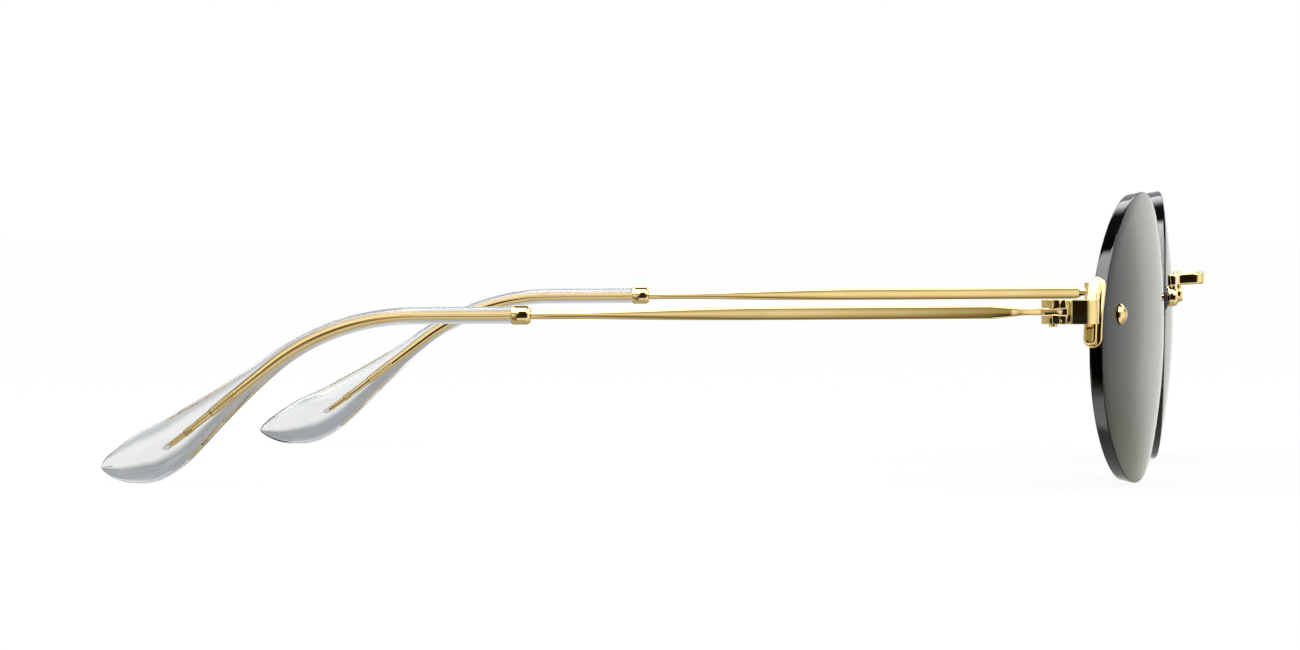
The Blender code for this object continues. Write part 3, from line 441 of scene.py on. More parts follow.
def lensShape():
    edge = lensSize["edge"]
    thick = lensSize["thickness"]
    inset = edge / (lensSize["height"] / 2)
    stations = [((1 - inset) * i / lensSize["rings"], 0.0) for i in range(1, lensSize["rings"] + 1)]
    turn = [math.radians(18 * i) for i in range(1, 5)]
    stations += [(1 - inset + inset * math.sin(a), edge - edge * math.cos(a)) for a in turn]
    stations += [(1.0, edge + (thick - 2 * edge) * i / 6) for i in range(7)]
    stations += [(1 - inset + inset * math.cos(a), thick - edge + edge * math.sin(a)) for a in turn]
    stations += [((1 - inset) * i / lensSize["rings"], thick) for i in range(lensSize["rings"], 0, -1)]
    bm = bmesh.new()
    rows = []
    for share, depth in stations:
        row = []
        for i in range(lensSize["steps"]):
            a = math.tau * i / lensSize["steps"]
            row.append(bm.verts.new(lensPoint(share * lensSize["width"] / 2 * math.cos(a),
                                              share * lensSize["height"] / 2 * math.sin(a), depth)))
        rows.append(row)
    poles = [bm.verts.new(lensPoint(0, 0, 0)), bm.verts.new(lensPoint(0, 0, thick))]
    count = lensSize["steps"]
    for i in range(count):
        j = (i + 1) % count
        for row, nextRow in zip(rows, rows[1:]):
            bm.faces.new((row[i], row[j], nextRow[j], nextRow[i]))
        bm.faces.new((poles[0], rows[0][j], rows[0][i]))
        bm.faces.new((poles[1], rows[-1][i], rows[-1][j]))
    moved(bm, lensFrame)
    drills = []
    for boreFrame in (temporalFrame, nasalFrame):
        drills.append(moved(rod(lensSize["bore"] / 2, -thick - drillPast, drillPast, 40), boreFrame))
    return carved(bm, *drills)


addPair("lens", lensShape(), tintedGlass, frontBodies, "lens", 30)
print("lenses done")


# levels along a lens bore, from the front surface and negative behind it
lensBack = -lensSize["thickness"] - lensSeatGap
bushFlange = 0.2 * mm
tabFront = lensBack - bushFlange - seatGap
tabBack = tabFront - 0.8 * mm
nutBack = tabBack - seatGap - 0.9 * mm
shankHole = 0.6 * mm + boreGap


# dome screw on the lens front
domeSize = {"width": 3.0 * mm, "height": 0.85 * mm, "lip": 0.12 * mm, "shank": 0.6 * mm}


def domeShape():
    half = domeSize["width"] / 2
    rise = domeSize["height"] - domeSize["lip"]
    radius = (half ** 2 + rise ** 2) / (2 * rise)
    spread = math.asin(half / radius)
    profile = [(0, seatGap + domeSize["height"])]
    for i in range(1, 15):
        a = spread * i / 14
        profile.append((radius * math.sin(a), seatGap + domeSize["height"] - radius * (1 - math.cos(a))))
    end = nutBack - 0.2 * mm
    profile += [(half, seatGap + 0.04 * mm), (half - 0.04 * mm, seatGap), (domeSize["shank"], seatGap),
                (domeSize["shank"], end + 0.1 * mm), (domeSize["shank"] - 0.1 * mm, end), (0, end)]
    return moved(turnProfile(profile), temporalFrame)


addPair("domeScrew", domeShape(), screwGold, frontBodies, "endpiece_screw")


# endpiece: plate and raised pad on the lens edge, elbow arm, hinge fork and the tab behind the lens
tbarSize = {"length": 10.1 * mm, "width": 2.62 * mm, "front": 0.045 * mm, "plate": 0.72 * mm,
            "plateRound": 0.22 * mm, "rim": 0.62 * mm, "rimSlope": 0.32, "rearRim": 0.12 * mm,
            "padBase": 0.3 * mm, "padTop": 1.25 * mm, "padRound": 0.5 * mm, "centreUp": 4.1 * mm}
armSize = {"height": 3.45 * mm, "barrel": 1.65 * mm, "inset": 0.42 * mm, "elbowStart": 2.62 * mm,
           "elbowOut": 2.7 * mm, "edge": 0.10 * mm, "slot": 1.12 * mm, "slotRadius": 2.53 * mm,
           "headHole": 1.0 * mm, "headDepth": 0.48 * mm}
# outer side of the fork in plan, as (outward from the pin, forward of it): rear flat, side flat, groove, web
forkSide = [(0.30, -1.62), (0.85, -1.42), (1.62, -0.18), (1.65, 0.0), (1.52, 0.95), (1.42, 1.02),
            (1.46, 1.09), (1.36, 1.68), (1.30, 1.84), (1.44, 1.90), (1.475, 2.58)]
cutPast = 0.3 * mm
tabSize = {"width": 2.4 * mm, "eye": 1.6 * mm, "edge": 0.12 * mm}
tbarMiddle = tbarSize["front"] + tbarSize["width"] / 2


def rimPoint(along, depth, rise):
    halfWidth, halfHeight = lensSize["width"] / 2, lensSize["height"] / 2
    start = math.pi - math.asin(tbarSize["centreUp"] / halfHeight)
    rate = math.hypot(halfWidth * math.sin(start), halfHeight * math.cos(start))
    a = start - along / rate
    x, z = halfWidth * math.cos(a), halfHeight * math.sin(a)
    normal = Vector((x / halfWidth ** 2, 0, z / halfHeight ** 2)).normalized()
    return lensFrame @ (Vector((x, lensSag(x, z) + depth, z)) + normal * rise)


def rimPill(length, width, middle, low, high, rounding, slopeFrom=1.0, slope=0.0):
    endRadius = width / 2
    rings = []
    for i in range(41):
        along = -length / 2 * math.cos(math.pi * (i + 0.12) / 40.24)
        past = max(0.0, abs(along) - (length / 2 - endRadius))
        half = math.sqrt(endRadius ** 2 - past ** 2)
        ring = [rimPoint(along, middle + half, low), rimPoint(along, middle - half, low)]
        for k in range(21):
            across = -half * math.cos(math.pi * k / 20)
            inside = endRadius - math.hypot(past, across)
            near = max(0.0, rounding - inside)
            top = high - rounding + math.sqrt(max(0.0, rounding ** 2 - near ** 2))
            top -= slope * max(0.0, -across - slopeFrom)
            ring.append(rimPoint(along, middle + across, top))
        rings.append(ring)
    return skinRings(rings)


def armShape():
    plateTop = seatGap + tbarSize["plate"]
    front = rimPoint(0, tbarSize["front"] + armSize["inset"], plateTop * 0.6)
    rear = rimPoint(0, tbarMiddle + tbarSize["width"] / 2 - armSize["edge"], plateTop * 0.6)
    outer = hinge.x - armSize["barrel"]
    elbow = hinge.y - armSize["elbowStart"] - front.y
    outline = [(hinge.x - out * mm, hinge.y - ahead * mm) for out, ahead in reversed(forkSide)]
    outline += arcPoints(hinge, armSize["barrel"], 90, 0, 14)
    outline.append((hinge.x + armSize["barrel"], hinge.y - armSize["slotRadius"]))
    outline += [(rear.x, rear.y), (front.x, front.y)]
    for x, y in arcPoints((0, 0), 1.0, 270, 180, 30):
        outline.append((outer + armSize["elbowOut"] * (1 + x), front.y + elbow * (1 + y)))
    half = armSize["height"] / 2
    bm = roundEdges(raisedOutline(outline, hinge.z - half, hinge.z + half), armSize["edge"], 70)
    slotHalf = armSize["slot"] / 2
    slotCut = rod(armSize["slotRadius"], -slotHalf, slotHalf, 56)
    past, deep, head = half + cutPast, half - armSize["headDepth"], armSize["headHole"] + boreGap
    pinCut = turnProfile([(0, past), (head, past), (head, deep), (shankHole, deep), (shankHole, -past),
                          (0, -past)], 32)
    return carved(bm, moved(slotCut, Matrix.Translation(hinge)), moved(pinCut, Matrix.Translation(hinge)))


def tabShape():
    inverse = temporalFrame.inverted()
    reach = (inverse @ rimPoint(0, 0, 0.45 * mm)).x
    level = (inverse @ rimPoint(0, 0, 0)).y
    eye = tabSize["eye"]
    upper, lower = level + tabSize["width"] / 2, level - tabSize["width"] / 2
    outline = [(reach, upper), (reach, lower)]
    start = 360 - math.degrees(math.acos(-math.sqrt(eye ** 2 - lower ** 2) / eye))
    end = 360 + math.degrees(math.acos(-math.sqrt(eye ** 2 - upper ** 2) / eye))
    outline += arcPoints((0, 0), eye, start, end, 36)
    bm = roundEdges(raisedOutline(outline, tabBack, tabFront), tabSize["edge"], 50)
    drill = rod(shankHole, tabBack - cutPast, tabFront + cutPast)
    return moved(carved(bm, drill), temporalFrame)


padWidth = tbarSize["width"] - tbarSize["rim"] - tbarSize["rearRim"]
padMiddle = tbarSize["front"] + tbarSize["rim"] + padWidth / 2
endpiece = joined(
    rimPill(tbarSize["length"], tbarSize["width"], tbarMiddle, seatGap, seatGap + tbarSize["plate"],
            tbarSize["plateRound"], tbarSize["width"] / 2 - tbarSize["rim"], tbarSize["rimSlope"]),
    rimPill(tbarSize["length"] - tbarSize["rim"], padWidth, padMiddle, tbarSize["padBase"],
            tbarSize["padTop"], tbarSize["padRound"]),
    armShape(), tabShape())
addPair("endpiece", endpiece, gold, frontBodies, "endpiece")


# hinge screw
hingeScrewSize = {"head": 1.0 * mm, "headHeight": 0.45 * mm, "shank": 0.6 * mm, "past": 0.4 * mm,
                  "slot": 0.35 * mm, "slotDepth": 0.3 * mm}


def hingeScrewShape():
    s = hingeScrewSize
    top = armSize["height"] / 2
    head, shank, under, end = s["head"], s["shank"], top - s["headHeight"], -top - s["past"]
    bm = turnProfile([(0, top), (head - 0.1 * mm, top), (head, top - 0.1 * mm), (head, under), (shank, under),
                      (shank, end + 0.15 * mm), (shank - 0.05 * mm, end + 0.05 * mm),
                      (shank - 0.15 * mm, end), (0, end)], 40)
    half, reach = s["slot"] / 2, 2 * head
    slotCut = raisedOutline([(-reach, -half), (reach, -half), (reach, half), (-reach, half)],
                            top - s["slotDepth"], top + s["slotDepth"])
    return moved(carved(bm, slotCut), Matrix.Translation(hinge))


addPair("hingeScrew", hingeScrewShape(), screwGold, frontBodies, "hinge_screw")
print("endpieces done")


# temple wire: hinge tongue, pressed flat, round wire and the core inside the tip
templeSize = {"reach": 138.4 * mm, "slope": 0.65, "bow": 1.5 * mm, "bendStart": 91.0 * mm,
              "bendRadius": 35.0 * mm, "bendAngle": 37.0, "rake": 17.3 * mm, "recurveRadius": 21.5 * mm,
              "recurveAngle": 29.7, "turnIn": 8.4 * mm, "length": 144.639 * mm, "coreShort": 11.7 * mm}
wireSize = {"pinchEnd": 3.4 * mm, "flatStart": 8.7 * mm, "flatEnd": 40.0 * mm, "roundStart": 66.0 * mm,
            "flatHalfHeight": 0.93 * mm, "flatHalfWidth": 0.45 * mm, "flatSquare": 0.35,
            "pinchHalfHeight": 0.46 * mm, "pinchHalfWidth": 0.6 * mm, "pinchSquare": 0.1,
            "tongue": 0.96 * mm, "tongueWidth": 2.5 * mm, "tongueHalfWidth": 0.68 * mm, "tongueSquare": 0.05,
            "shoulder": 1.0 * mm, "tail": 1.7 * mm, "sunk": 0.3 * mm, "round": 0.625 * mm,
            "sleeveCore": 0.46 * mm, "bendCore": 0.60 * mm, "coreEnd": 0.46 * mm, "swellStart": 86.0 * mm,
            "swellLength": 22.0 * mm, "taper": 16.0 * mm, "intoCollar": 1.2 * mm}
farWire = dict(wireSize, pinchEnd=1.9 * mm, flatStart=2.9 * mm)
# pressed and crossed stretches of the core that grip the tip, measured back from the core's end
gripSize = {"ringStart": 3.0 * mm, "ringEnd": 4.3 * mm, "ringLevel": 1.02, "ringDepth": 0.07,
            "ringPitch": 20 / mm, "crossStart": 8.0 * mm, "crossEnd": 12.9 * mm, "crossEase": 0.3 * mm,
            "crossDepth": 0.06, "crossRise": 0.03, "crossTurns": 7, "crossPitch": 9 / mm, "neck": 0.90,
            "point": 0.84, "margin": 0.1 * mm}
sleeveStart = 76.78 * mm
coreEnd = templeSize["length"] - templeSize["coreShort"]


def templeProfile(length):
    heading = -math.radians(templeSize["slope"])
    bend, recurve = math.radians(templeSize["bendAngle"]), math.radians(templeSize["recurveAngle"])
    radius, inner = templeSize["bendRadius"], templeSize["recurveRadius"]
    spans = ((templeSize["bendStart"], 0.0), (radius * bend, -1 / radius), (templeSize["rake"], 0.0),
             (inner * recurve, 1 / inner), (1.0, 0.0))
    place = Vector((0, 0))
    for span, curl in spans:
        step = min(span, length)
        turn = step * curl
        chord = step if turn == 0 else 2 / abs(curl) * math.sin(abs(turn) / 2)
        place += Vector((math.cos(heading + turn / 2), math.sin(heading + turn / 2))) * chord
        heading += turn
        length -= step
        if length <= 0:
            break
    return place, heading


def templeFrame(length):
    place, heading = templeProfile(length)
    turnIn = max(0.0, place.x - templeSize["bendStart"]) / (templeSize["reach"] - templeSize["bendStart"])
    bow = templeSize["bow"] * min(1.0, place.x / templeSize["bendStart"])
    bow -= templeSize["turnIn"] * turnIn ** 2
    return (hinge + Vector((-bow, place.x, place.y)), Vector((-1, 0, 0)),
            Vector((0, -math.sin(heading), math.cos(heading))))


def blend(a, b, share):
    return a + (b - a) * share


def wireSection(length, w=wireSize):
    if length < w["pinchEnd"]:
        share = max(0.0, (length - w["tail"]) / (w["pinchEnd"] - w["tail"]))
        return (blend(w["tongue"] / 2, w["pinchHalfHeight"], share),
                blend(w["tongueHalfWidth"], w["pinchHalfWidth"], share),
                blend(w["tongueSquare"], w["pinchSquare"], share ** 3))
    if length < w["flatStart"]:
        share = (length - w["pinchEnd"]) / (w["flatStart"] - w["pinchEnd"])
        return (blend(w["pinchHalfHeight"], w["flatHalfHeight"], smooth(share)),
                blend(w["pinchHalfWidth"], w["flatHalfWidth"], smooth(2.2 * share)),
                blend(w["pinchSquare"], w["flatSquare"], smooth(share)))
    if length < w["roundStart"]:
        share = max(0.0, (length - w["flatEnd"]) / (w["roundStart"] - w["flatEnd"]))
        return (blend(w["flatHalfHeight"], w["round"], share ** 2),
                blend(w["flatHalfWidth"], w["round"], share),
                blend(w["flatSquare"], 1.0, share ** 1.5))
    if length < sleeveStart - w["intoCollar"]:
        return w["round"], w["round"], 1.0
    swell = smooth((length - w["swellStart"]) / w["swellLength"])
    radius = blend(w["sleeveCore"], w["bendCore"], swell)
    radius = blend(radius, w["coreEnd"], smooth((length - coreEnd + w["taper"]) / w["taper"]))
    return radius, radius, 1.0


def coreRelief(length, angle):
    g = gripSize
    left = coreEnd - length
    if g["crossStart"] < left < g["crossEnd"]:
        band = min(1.0, (left - g["crossStart"]) / g["crossEase"], (g["crossEnd"] - left) / g["crossEase"])
        turn, run = g["crossTurns"] * angle, left * g["crossPitch"]
        return 1.0 + band * (g["crossDepth"] * math.sin(turn + run) * math.sin(turn - run) + g["crossRise"])
    if g["ringStart"] < left < g["ringEnd"]:
        return g["ringLevel"] + g["ringDepth"] * math.sin(left * g["ringPitch"])
    if left <= g["crossStart"]:
        return g["neck"] if left > g["ringEnd"] else g["point"]
    return 1.0


def wireRing(length, w, points=56):
    centre, across, upward = templeFrame(length)
    halfHeight, halfWidth, square = wireSection(length, w)
    ring = []
    for i in range(points):
        a = math.tau * (i + 0.5) / points
        relief = coreRelief(length, a)
        x = math.copysign(abs(math.cos(a)) ** square, math.cos(a))
        ring.append(centre + across * halfWidth * x * relief + upward * halfHeight * math.sin(a) * relief)
    return ring


def spaced(start, end, step):
    count = max(1, round((end - start) / step))
    return [start + (end - start) * i / count for i in range(count)]


def tongueShape():
    half = wireSize["tongueWidth"] / 2
    reach = armSize["slotRadius"] - boreGap
    spread = math.degrees(math.asin(half / reach))
    outline = arcPoints(hinge, reach, 270 - spread, 270 + spread, 16)
    neck = wireSize["tongueHalfWidth"] - 0.03 * mm
    shoulder, tail = hinge.y + wireSize["shoulder"], hinge.y + wireSize["tail"]
    outline += [(hinge.x + half, shoulder), (hinge.x + neck, tail), (hinge.x - neck, tail),
                (hinge.x - half, shoulder)]
    thick = wireSize["tongue"] / 2
    bm = roundEdges(raisedOutline(outline, hinge.z - thick, hinge.z + thick), 0.06 * mm, 60, 2)
    drill = rod(shankHole, -2 * wireSize["tongue"], 2 * wireSize["tongue"])
    return carved(bm, moved(drill, Matrix.Translation(hinge)))


def wireShape(w):
    knurlStart = coreEnd - gripSize["crossEnd"] - gripSize["margin"]
    knurlEnd = coreEnd - gripSize["ringStart"] + gripSize["margin"]
    # where each stretch starts, and how far apart its rings are
    stops = ((w["tail"] - w["sunk"], 0.25 * mm), (w["flatStart"], 2.5 * mm), (w["flatEnd"], 0.8 * mm),
             (w["roundStart"], 2.5 * mm), (templeSize["bendStart"], 0.6 * mm), (knurlStart, 0.06 * mm),
             (knurlEnd, 0.3 * mm), (coreEnd, 0.0))
    stations = []
    for start, end in zip(stops, stops[1:]):
        stations += spaced(start[0], end[0], start[1])
    rings = [wireRing(length, w) for length in stations + [coreEnd]]
    centre = templeFrame(coreEnd)[0]
    ahead = centre - templeFrame(coreEnd - 0.1 * mm)[0]
    rings.append([centre + (p - centre) * 0.55 + ahead for p in rings[-1]])
    return skinRings(rings)


rightTemple = joined(tongueShape(), wireShape(wireSize))
leftTemple = moved(joined(tongueShape(), wireShape(farWire)), mirrorX)
addPiece("templeWireRight", rightTemple, gold, "right_temple", ["temple_right"], 60)
addPiece("templeWireLeft", leftTemple, gold, "left_temple", ["temple_left"], 60)
print("temples done")


# collar at the mouth of the tip
collarSize = {"start": 74.1 * mm, "length": 2.65 * mm, "radius": 1.385 * mm, "chamfer": 0.42 * mm,
              "mouth": 0.45 * mm, "soft": 0.06 * mm}


def collarShape():
    bore = wireSize["round"] + boreGap
    radius, length, chamfer = collarSize["radius"], collarSize["length"], collarSize["chamfer"]
    soft, lip = collarSize["soft"], radius - chamfer
    profile = [(bore, length), (radius - soft, length), (radius, length - soft), (radius, chamfer + soft),
               (radius - 0.3 * soft, chamfer), (lip + 0.1 * mm, 0.02 * mm), (lip + 0.05 * mm, 0),
               (bore + soft, 0), (bore, collarSize["mouth"])]
    centre, across, upward = templeFrame(collarSize["start"])
    ahead = templeFrame(collarSize["start"] + length)[0] - centre
    return moved(turnProfile(profile, 64), axisFrame(centre, ahead, across))


addPair("collar", collarShape(), gold, templeBodies, "collar")


# clear tip: sleeve, bend and paddle, closed tight on the core
tipSize = {"sleeve": 1.225 * mm, "halfHeight": 3.85 * mm, "halfThickness": 1.4 * mm, "start": 88.0 * mm,
           "widest": 8.25 * mm, "ease": 2.5, "round": 1.5, "grip": 0.03 * mm, "boreShare": 0.8,
           "borePast": 1.2 * mm, "boreTip": 0.02 * mm, "soft": 0.08 * mm, "points": 56}


def tipHalves(length):
    widest = templeSize["length"] - tipSize["widest"]
    grown, closing = 1.0, 1.0
    if length <= widest:
        share = max(0.0, (length - tipSize["start"]) / (widest - tipSize["start"]))
        grown = 0.5 - 0.5 * math.cos(math.pi * share ** tipSize["ease"])
    else:
        share = min(1.0, (length - widest) / tipSize["widest"])
        closing = (1 - share ** tipSize["round"]) ** (1 / tipSize["round"])
    return (blend(tipSize["sleeve"], tipSize["halfHeight"], grown) * closing,
            blend(tipSize["sleeve"], tipSize["halfThickness"], grown) * closing)


def tipRing(length, halves):
    centre, across, upward = templeFrame(length)
    angles = [math.tau * i / tipSize["points"] for i in range(tipSize["points"])]
    return [centre + across * halves[1] * math.cos(a) + upward * halves[0] * math.sin(a) for a in angles]


def tipShape():
    widest = templeSize["length"] - tipSize["widest"]
    mouth = spaced(sleeveStart, templeSize["bendStart"], 1.5 * mm)
    outside = mouth + spaced(templeSize["bendStart"], widest, 0.5 * mm)
    outside += [widest + tipSize["widest"] * math.sin(math.pi / 2 * i / 40) for i in range(40)]
    boreEnd = coreEnd + tipSize["borePast"]
    inside = mouth + spaced(templeSize["bendStart"], coreEnd, 0.6 * mm)
    rings = []
    for share in (0.0, 0.35, 0.65, 0.85, 0.96):  # rounded bubble past the end of the core
        radius = tipSize["boreTip"]
        if share:
            radius = (wireSize["coreEnd"] - tipSize["grip"]) * math.sqrt(1 - (1 - share) ** 2)
        rings.append(tipRing(blend(boreEnd, coreEnd, share), (radius, radius)))
    for length in reversed(inside):
        radius = tipSize["boreShare"] * (wireSection(length)[0] - tipSize["grip"])
        rings.append(tipRing(length, (radius, radius)))
    soft = tipSize["soft"]
    rings.append(tipRing(sleeveStart, (tipSize["sleeve"] - soft, tipSize["sleeve"] - soft)))
    for length in outside:
        rings.append(tipRing(length + (soft if length == sleeveStart else 0), tipHalves(length)))
    return skinRings(rings)


addPair("clearTip", tipShape(), clearAcetate, templeBodies, "tip")
print("tips done")


# bridge: arched bar with a boss in front of each lens
bridgeSize = {"front": -79.05 * mm, "halfHeight": 0.9 * mm, "halfThickness": 0.65 * mm, "corner": 0.40 * mm,
              "upFromBoss": 2.5 * mm, "elbow": 7.9 * mm, "cross": 5.6 * mm, "lift": 0.2 * mm, "splay": 0.06,
              "endTurn": 0.12, "endRound": 0.3 * mm}
bossSize = {"radius": 1.475 * mm, "height": 1.55 * mm, "waist": 0.24, "bore": 1.1 * mm, "skirt": 0.4 * mm}
neckSize = {"halfWidth": 0.6 * mm, "halfDepth": 0.5 * mm, "round": 0.15 * mm, "sunk": 0.6 * mm}
washerSize = {"radius": 1.8 * mm, "height": 0.55 * mm, "round": 0.1 * mm, "sleeve": 0.93 * mm}
bossBack = 2 * seatGap + washerSize["height"]
bossFront = bossBack + bossSize["height"]
bossPlace = nasalFrame @ Vector((0, 0, bossBack + bossSize["height"] / 2))
barLevel = bossPlace.z + bridgeSize["upFromBoss"]


def bridgeShape():
    b = bridgeSize
    start = bossPlace.x - bossSize["radius"] + b["endRound"]
    cross = b["front"] + b["halfThickness"]
    bend = (b["elbow"] - b["cross"]) / 2
    plan = [(start + 0.5 * mm * i, bossPlace.y) for i in range(8)]
    plan += arcPoints((-b["elbow"] - bend, bossPlace.y - bend), bend, 90, 0, 14)
    plan += arcPoints((-b["elbow"] + bend, cross + bend), bend, 180, 270, 14)
    half = []
    for x, y in plan:
        forward = bossPlace.y - y
        height = barLevel + b["lift"] * smooth(forward / (bossPlace.y - cross))
        half.append(Vector((x + b["splay"] * forward, y, height)))
    path = half + [mirrorX @ p for p in reversed(half)]
    rings = []
    for i, point in enumerate(path):
        ahead = path[min(i + 1, len(path) - 1)] - path[max(i - 1, 0)]
        across = Vector((ahead.y, -ahead.x, 0)).normalized()
        rings.append(roundedRing(point, across, up, b["halfThickness"], b["halfHeight"], b["corner"]))
    for ring, outward in ((0, -1), (-1, 1)):  # softened ends
        ends = []
        for share in (0.1, 0.35, 0.7, 1.0):
            inset = b["endRound"] * (1 - math.sqrt(1 - share ** 2))
            middle = path[ring] + Vector((outward * b["endRound"] * share, 0, 0))
            facing = Vector((-outward * b["endTurn"] * share, -1, 0))
            ends.append(roundedRing(middle, facing, up, b["halfThickness"] - inset, b["halfHeight"] - inset,
                                    b["corner"] - inset * 0.6))
        rings = ends[::-1] + rings if ring == 0 else rings + ends
    shells = [skinRings(rings)]
    profile = [(0, bossFront)]
    for i in range(25):  # barrel side, fullest halfway
        side = math.cos(math.pi * i / 24)
        profile.append((bossSize["radius"] * (1 - bossSize["waist"] * abs(side) ** 2.6),
                        bossFront - (bossSize["height"] + bossSize["skirt"]) * (0.5 - 0.5 * side)))
    base, boreTop = bossBack - bossSize["skirt"], bossBack + bossSize["bore"]
    profile += [(shankHole, base), (shankHole, boreTop), (0, boreTop)]
    n = neckSize
    sideways, onward = Vector((1, 0, 0)), Vector((0, 1, 0))
    for side in (Matrix.Identity(4), mirrorX):
        shells.append(moved(turnProfile(profile), side @ nasalFrame))
        neck = []
        for level in (bossPlace.z + n["sunk"], barLevel):
            place = Vector((bossPlace.x, bossPlace.y, level))
            neck.append(roundedRing(place, sideways, onward, n["halfWidth"], n["halfDepth"], n["round"]))
        shells.append(moved(skinRings(neck), side))
    return joined(*shells)


bridge = addPiece("bridgeBar", bridgeShape(), gold, "front", ["bridge"])
bridge.visible_glossy = False  # keeps its double off the lens


def washerShape():
    radius, sleeve, soft = washerSize["radius"], washerSize["sleeve"], washerSize["round"]
    top, end = seatGap + washerSize["height"], lensBack + 2 * seatGap
    profile = [(shankHole, top), (radius - soft, top), (radius, top - soft), (radius, seatGap + soft),
               (radius - soft, seatGap), (sleeve, seatGap), (sleeve, end), (shankHole, end)]
    return moved(turnProfile(profile), nasalFrame)


for washer in addPair("bridgeWasher", washerShape(), darkNylon, frontBodies, "bridge_washer"):
    washer.visible_glossy = False
print("bridge done")


# nose pads and their bent arms
padSize = {"halfLength": 6.5 * mm, "halfWidth": 3.3 * mm, "crown": 1.1 * mm, "back": 0.55 * mm,
           "spacing": 17.2 * mm, "behind": -7.4 * mm, "height": 17.5 * mm, "flare": 24.0, "lean": 15.0,
           "narrow": 0.1}
claspSize = {"insert": 0.6 * mm, "postReach": 1.2 * mm, "postHalf": 0.7 * mm, "wall": 0.5 * mm}
padArmSize = {"radius": 0.5 * mm, "out": 1.6 * mm, "back": 2.4 * mm, "inward": 0.65 * mm, "sunk": 0.1 * mm,
              "step": 0.3 * mm, "drop": 0.9 * mm, "pass": 5.6 * mm, "fall": 0.35 * mm, "points": 20}
flare, lean = math.radians(padSize["flare"]), math.radians(padSize["lean"])
padNormal = Vector((math.cos(flare) * math.cos(lean), math.sin(flare) * math.cos(lean), -math.sin(lean)))
padFrame = axisFrame(Vector((-padSize["spacing"] / 2, hinge.y + padSize["behind"], padSize["height"])),
                     padNormal, Vector((0, 1, 0)))
boxBack = -padSize["crown"] - padSize["back"] - seatGap - sum(claspSize.values()) - boreGap


def nosePadShape():
    bm = bmesh.new()
    bmesh.ops.create_uvsphere(bm, u_segments=64, v_segments=36, radius=1.0)
    for v in bm.verts:
        level = padSize["crown"] * v.co.z
        if v.co.z <= 0:  # flatter at the back
            level = -padSize["back"] * min(1.0, abs(v.co.z) * 2.2) ** 0.6
        width = padSize["halfWidth"] * (1 - padSize["narrow"] * max(0.0, v.co.y))
        v.co = (v.co.x * width, v.co.y * padSize["halfLength"], level - padSize["crown"])
    return moved(bm, padFrame)


nosePads = addPair("nosePad", nosePadShape(), softSilicone, padBodies, "nose_pad", 60)


def smoothRoute(route, steps):
    ends = [2 * route[0] - route[1]] + route + [2 * route[-1] - route[-2]]
    points = []
    for a, b, c, d in zip(ends, ends[1:], ends[2:], ends[3:]):
        for i in range(steps):
            t = i / steps
            square = (2 * a - 5 * b + 4 * c - d) * t ** 2
            cube = (3 * b - a - 3 * c + d) * t ** 3
            points.append((2 * b + (c - a) * t + square + cube) / 2)
    return points + [route[-1]]


def padArmShape():
    p = padArmSize
    end = padFrame @ Vector((0, 0, boxBack - seatGap))
    outEnd = padFrame @ Vector((0, 0, boxBack - seatGap - p["out"]))
    start = Vector((-bridgeSize["elbow"] - p["inward"], bossPlace.y,
                    barLevel - bridgeSize["halfHeight"] + p["sunk"]))
    below = start + Vector((0, p["step"], -p["drop"]))
    past = below + Vector((0, p["pass"], -p["fall"]))
    loop = max(past.y, outEnd.y) + p["back"]
    across, drop = outEnd.x - past.x, outEnd.z - past.z
    route = [start, below, past, Vector((past.x + across * 0.3, loop - p["radius"], past.z + drop * 0.25)),
             Vector((past.x + across * 0.8, loop - p["radius"], past.z + drop * 0.6)),
             Vector((outEnd.x - p["radius"], (loop + outEnd.y) / 2, past.z + drop * 0.85)), outEnd, end]
    points = smoothRoute(route, 10)
    angles = [math.tau * k / p["points"] for k in range(p["points"])]
    rings, side = [], Vector((1, 0, 0))
    for i, point in enumerate(points):
        ahead = (points[min(i + 1, len(points) - 1)] - points[max(i - 1, 0)]).normalized()
        side = (side - ahead * side.dot(ahead)).normalized()
        lift = ahead.cross(side)
        rings.append([point + (side * math.cos(a) + lift * math.sin(a)) * p["radius"] for a in angles])
    return skinRings(rings)


for padArm in addPair("padArm", padArmShape(), gold, frontBodies, "pad_arm"):
    padArm.visible_glossy = False

# the small fittings stay as they come from the CAD
fittings = {"endpiece_bush": clearPlastic, "endpiece_nut": screwGold, "bridge_rear_washer": screwGold,
            "bridge_screw": screwGold, "pad_box": gold, "pad_screw": screwGold, "pad_insert": clearPlastic}
for stem, finish in fittings.items():
    for side in ("_right", "_left"):
        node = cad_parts[stem + side]
        node.data.materials.clear()
        node.data.materials.append(finish)
print("nose pads and fittings done")


# floor, world and lamp
floorSize = {"half": 3.0, "glow": 0.90}
bm = bmesh.new()
bmesh.ops.create_grid(bm, x_segments=1, y_segments=1, size=floorSize["half"])
floorMesh = bpy.data.meshes.new("floor")
bm.to_mesh(floorMesh)
bm.free()
floor = bpy.data.objects.new("floor", floorMesh)
scene.collection.objects.link(floor)
floor.visible_glossy = False
floor.visible_transmission = False
floorFinish, tree, shader = newFinish("paleFloor")
place = addNode(tree, "ShaderNodeTexCoord").outputs["Object"]
tree.links.new(mixNode(tree, noiseNode(tree, place, 6.0), (0.98, 0.98, 0.98, 1), (0.97, 0.97, 0.97, 1)),
               shader.inputs["Base Color"])
shader.inputs["Roughness"].default_value = 0.9
shader.inputs["Specular IOR Level"].default_value = 0.0
glow = addNode(tree, "ShaderNodeEmission")
glow.inputs["Strength"].default_value = 1.0
seen = addNode(tree, "ShaderNodeLightPath")
lit = addNode(tree, "ShaderNodeMixShader")
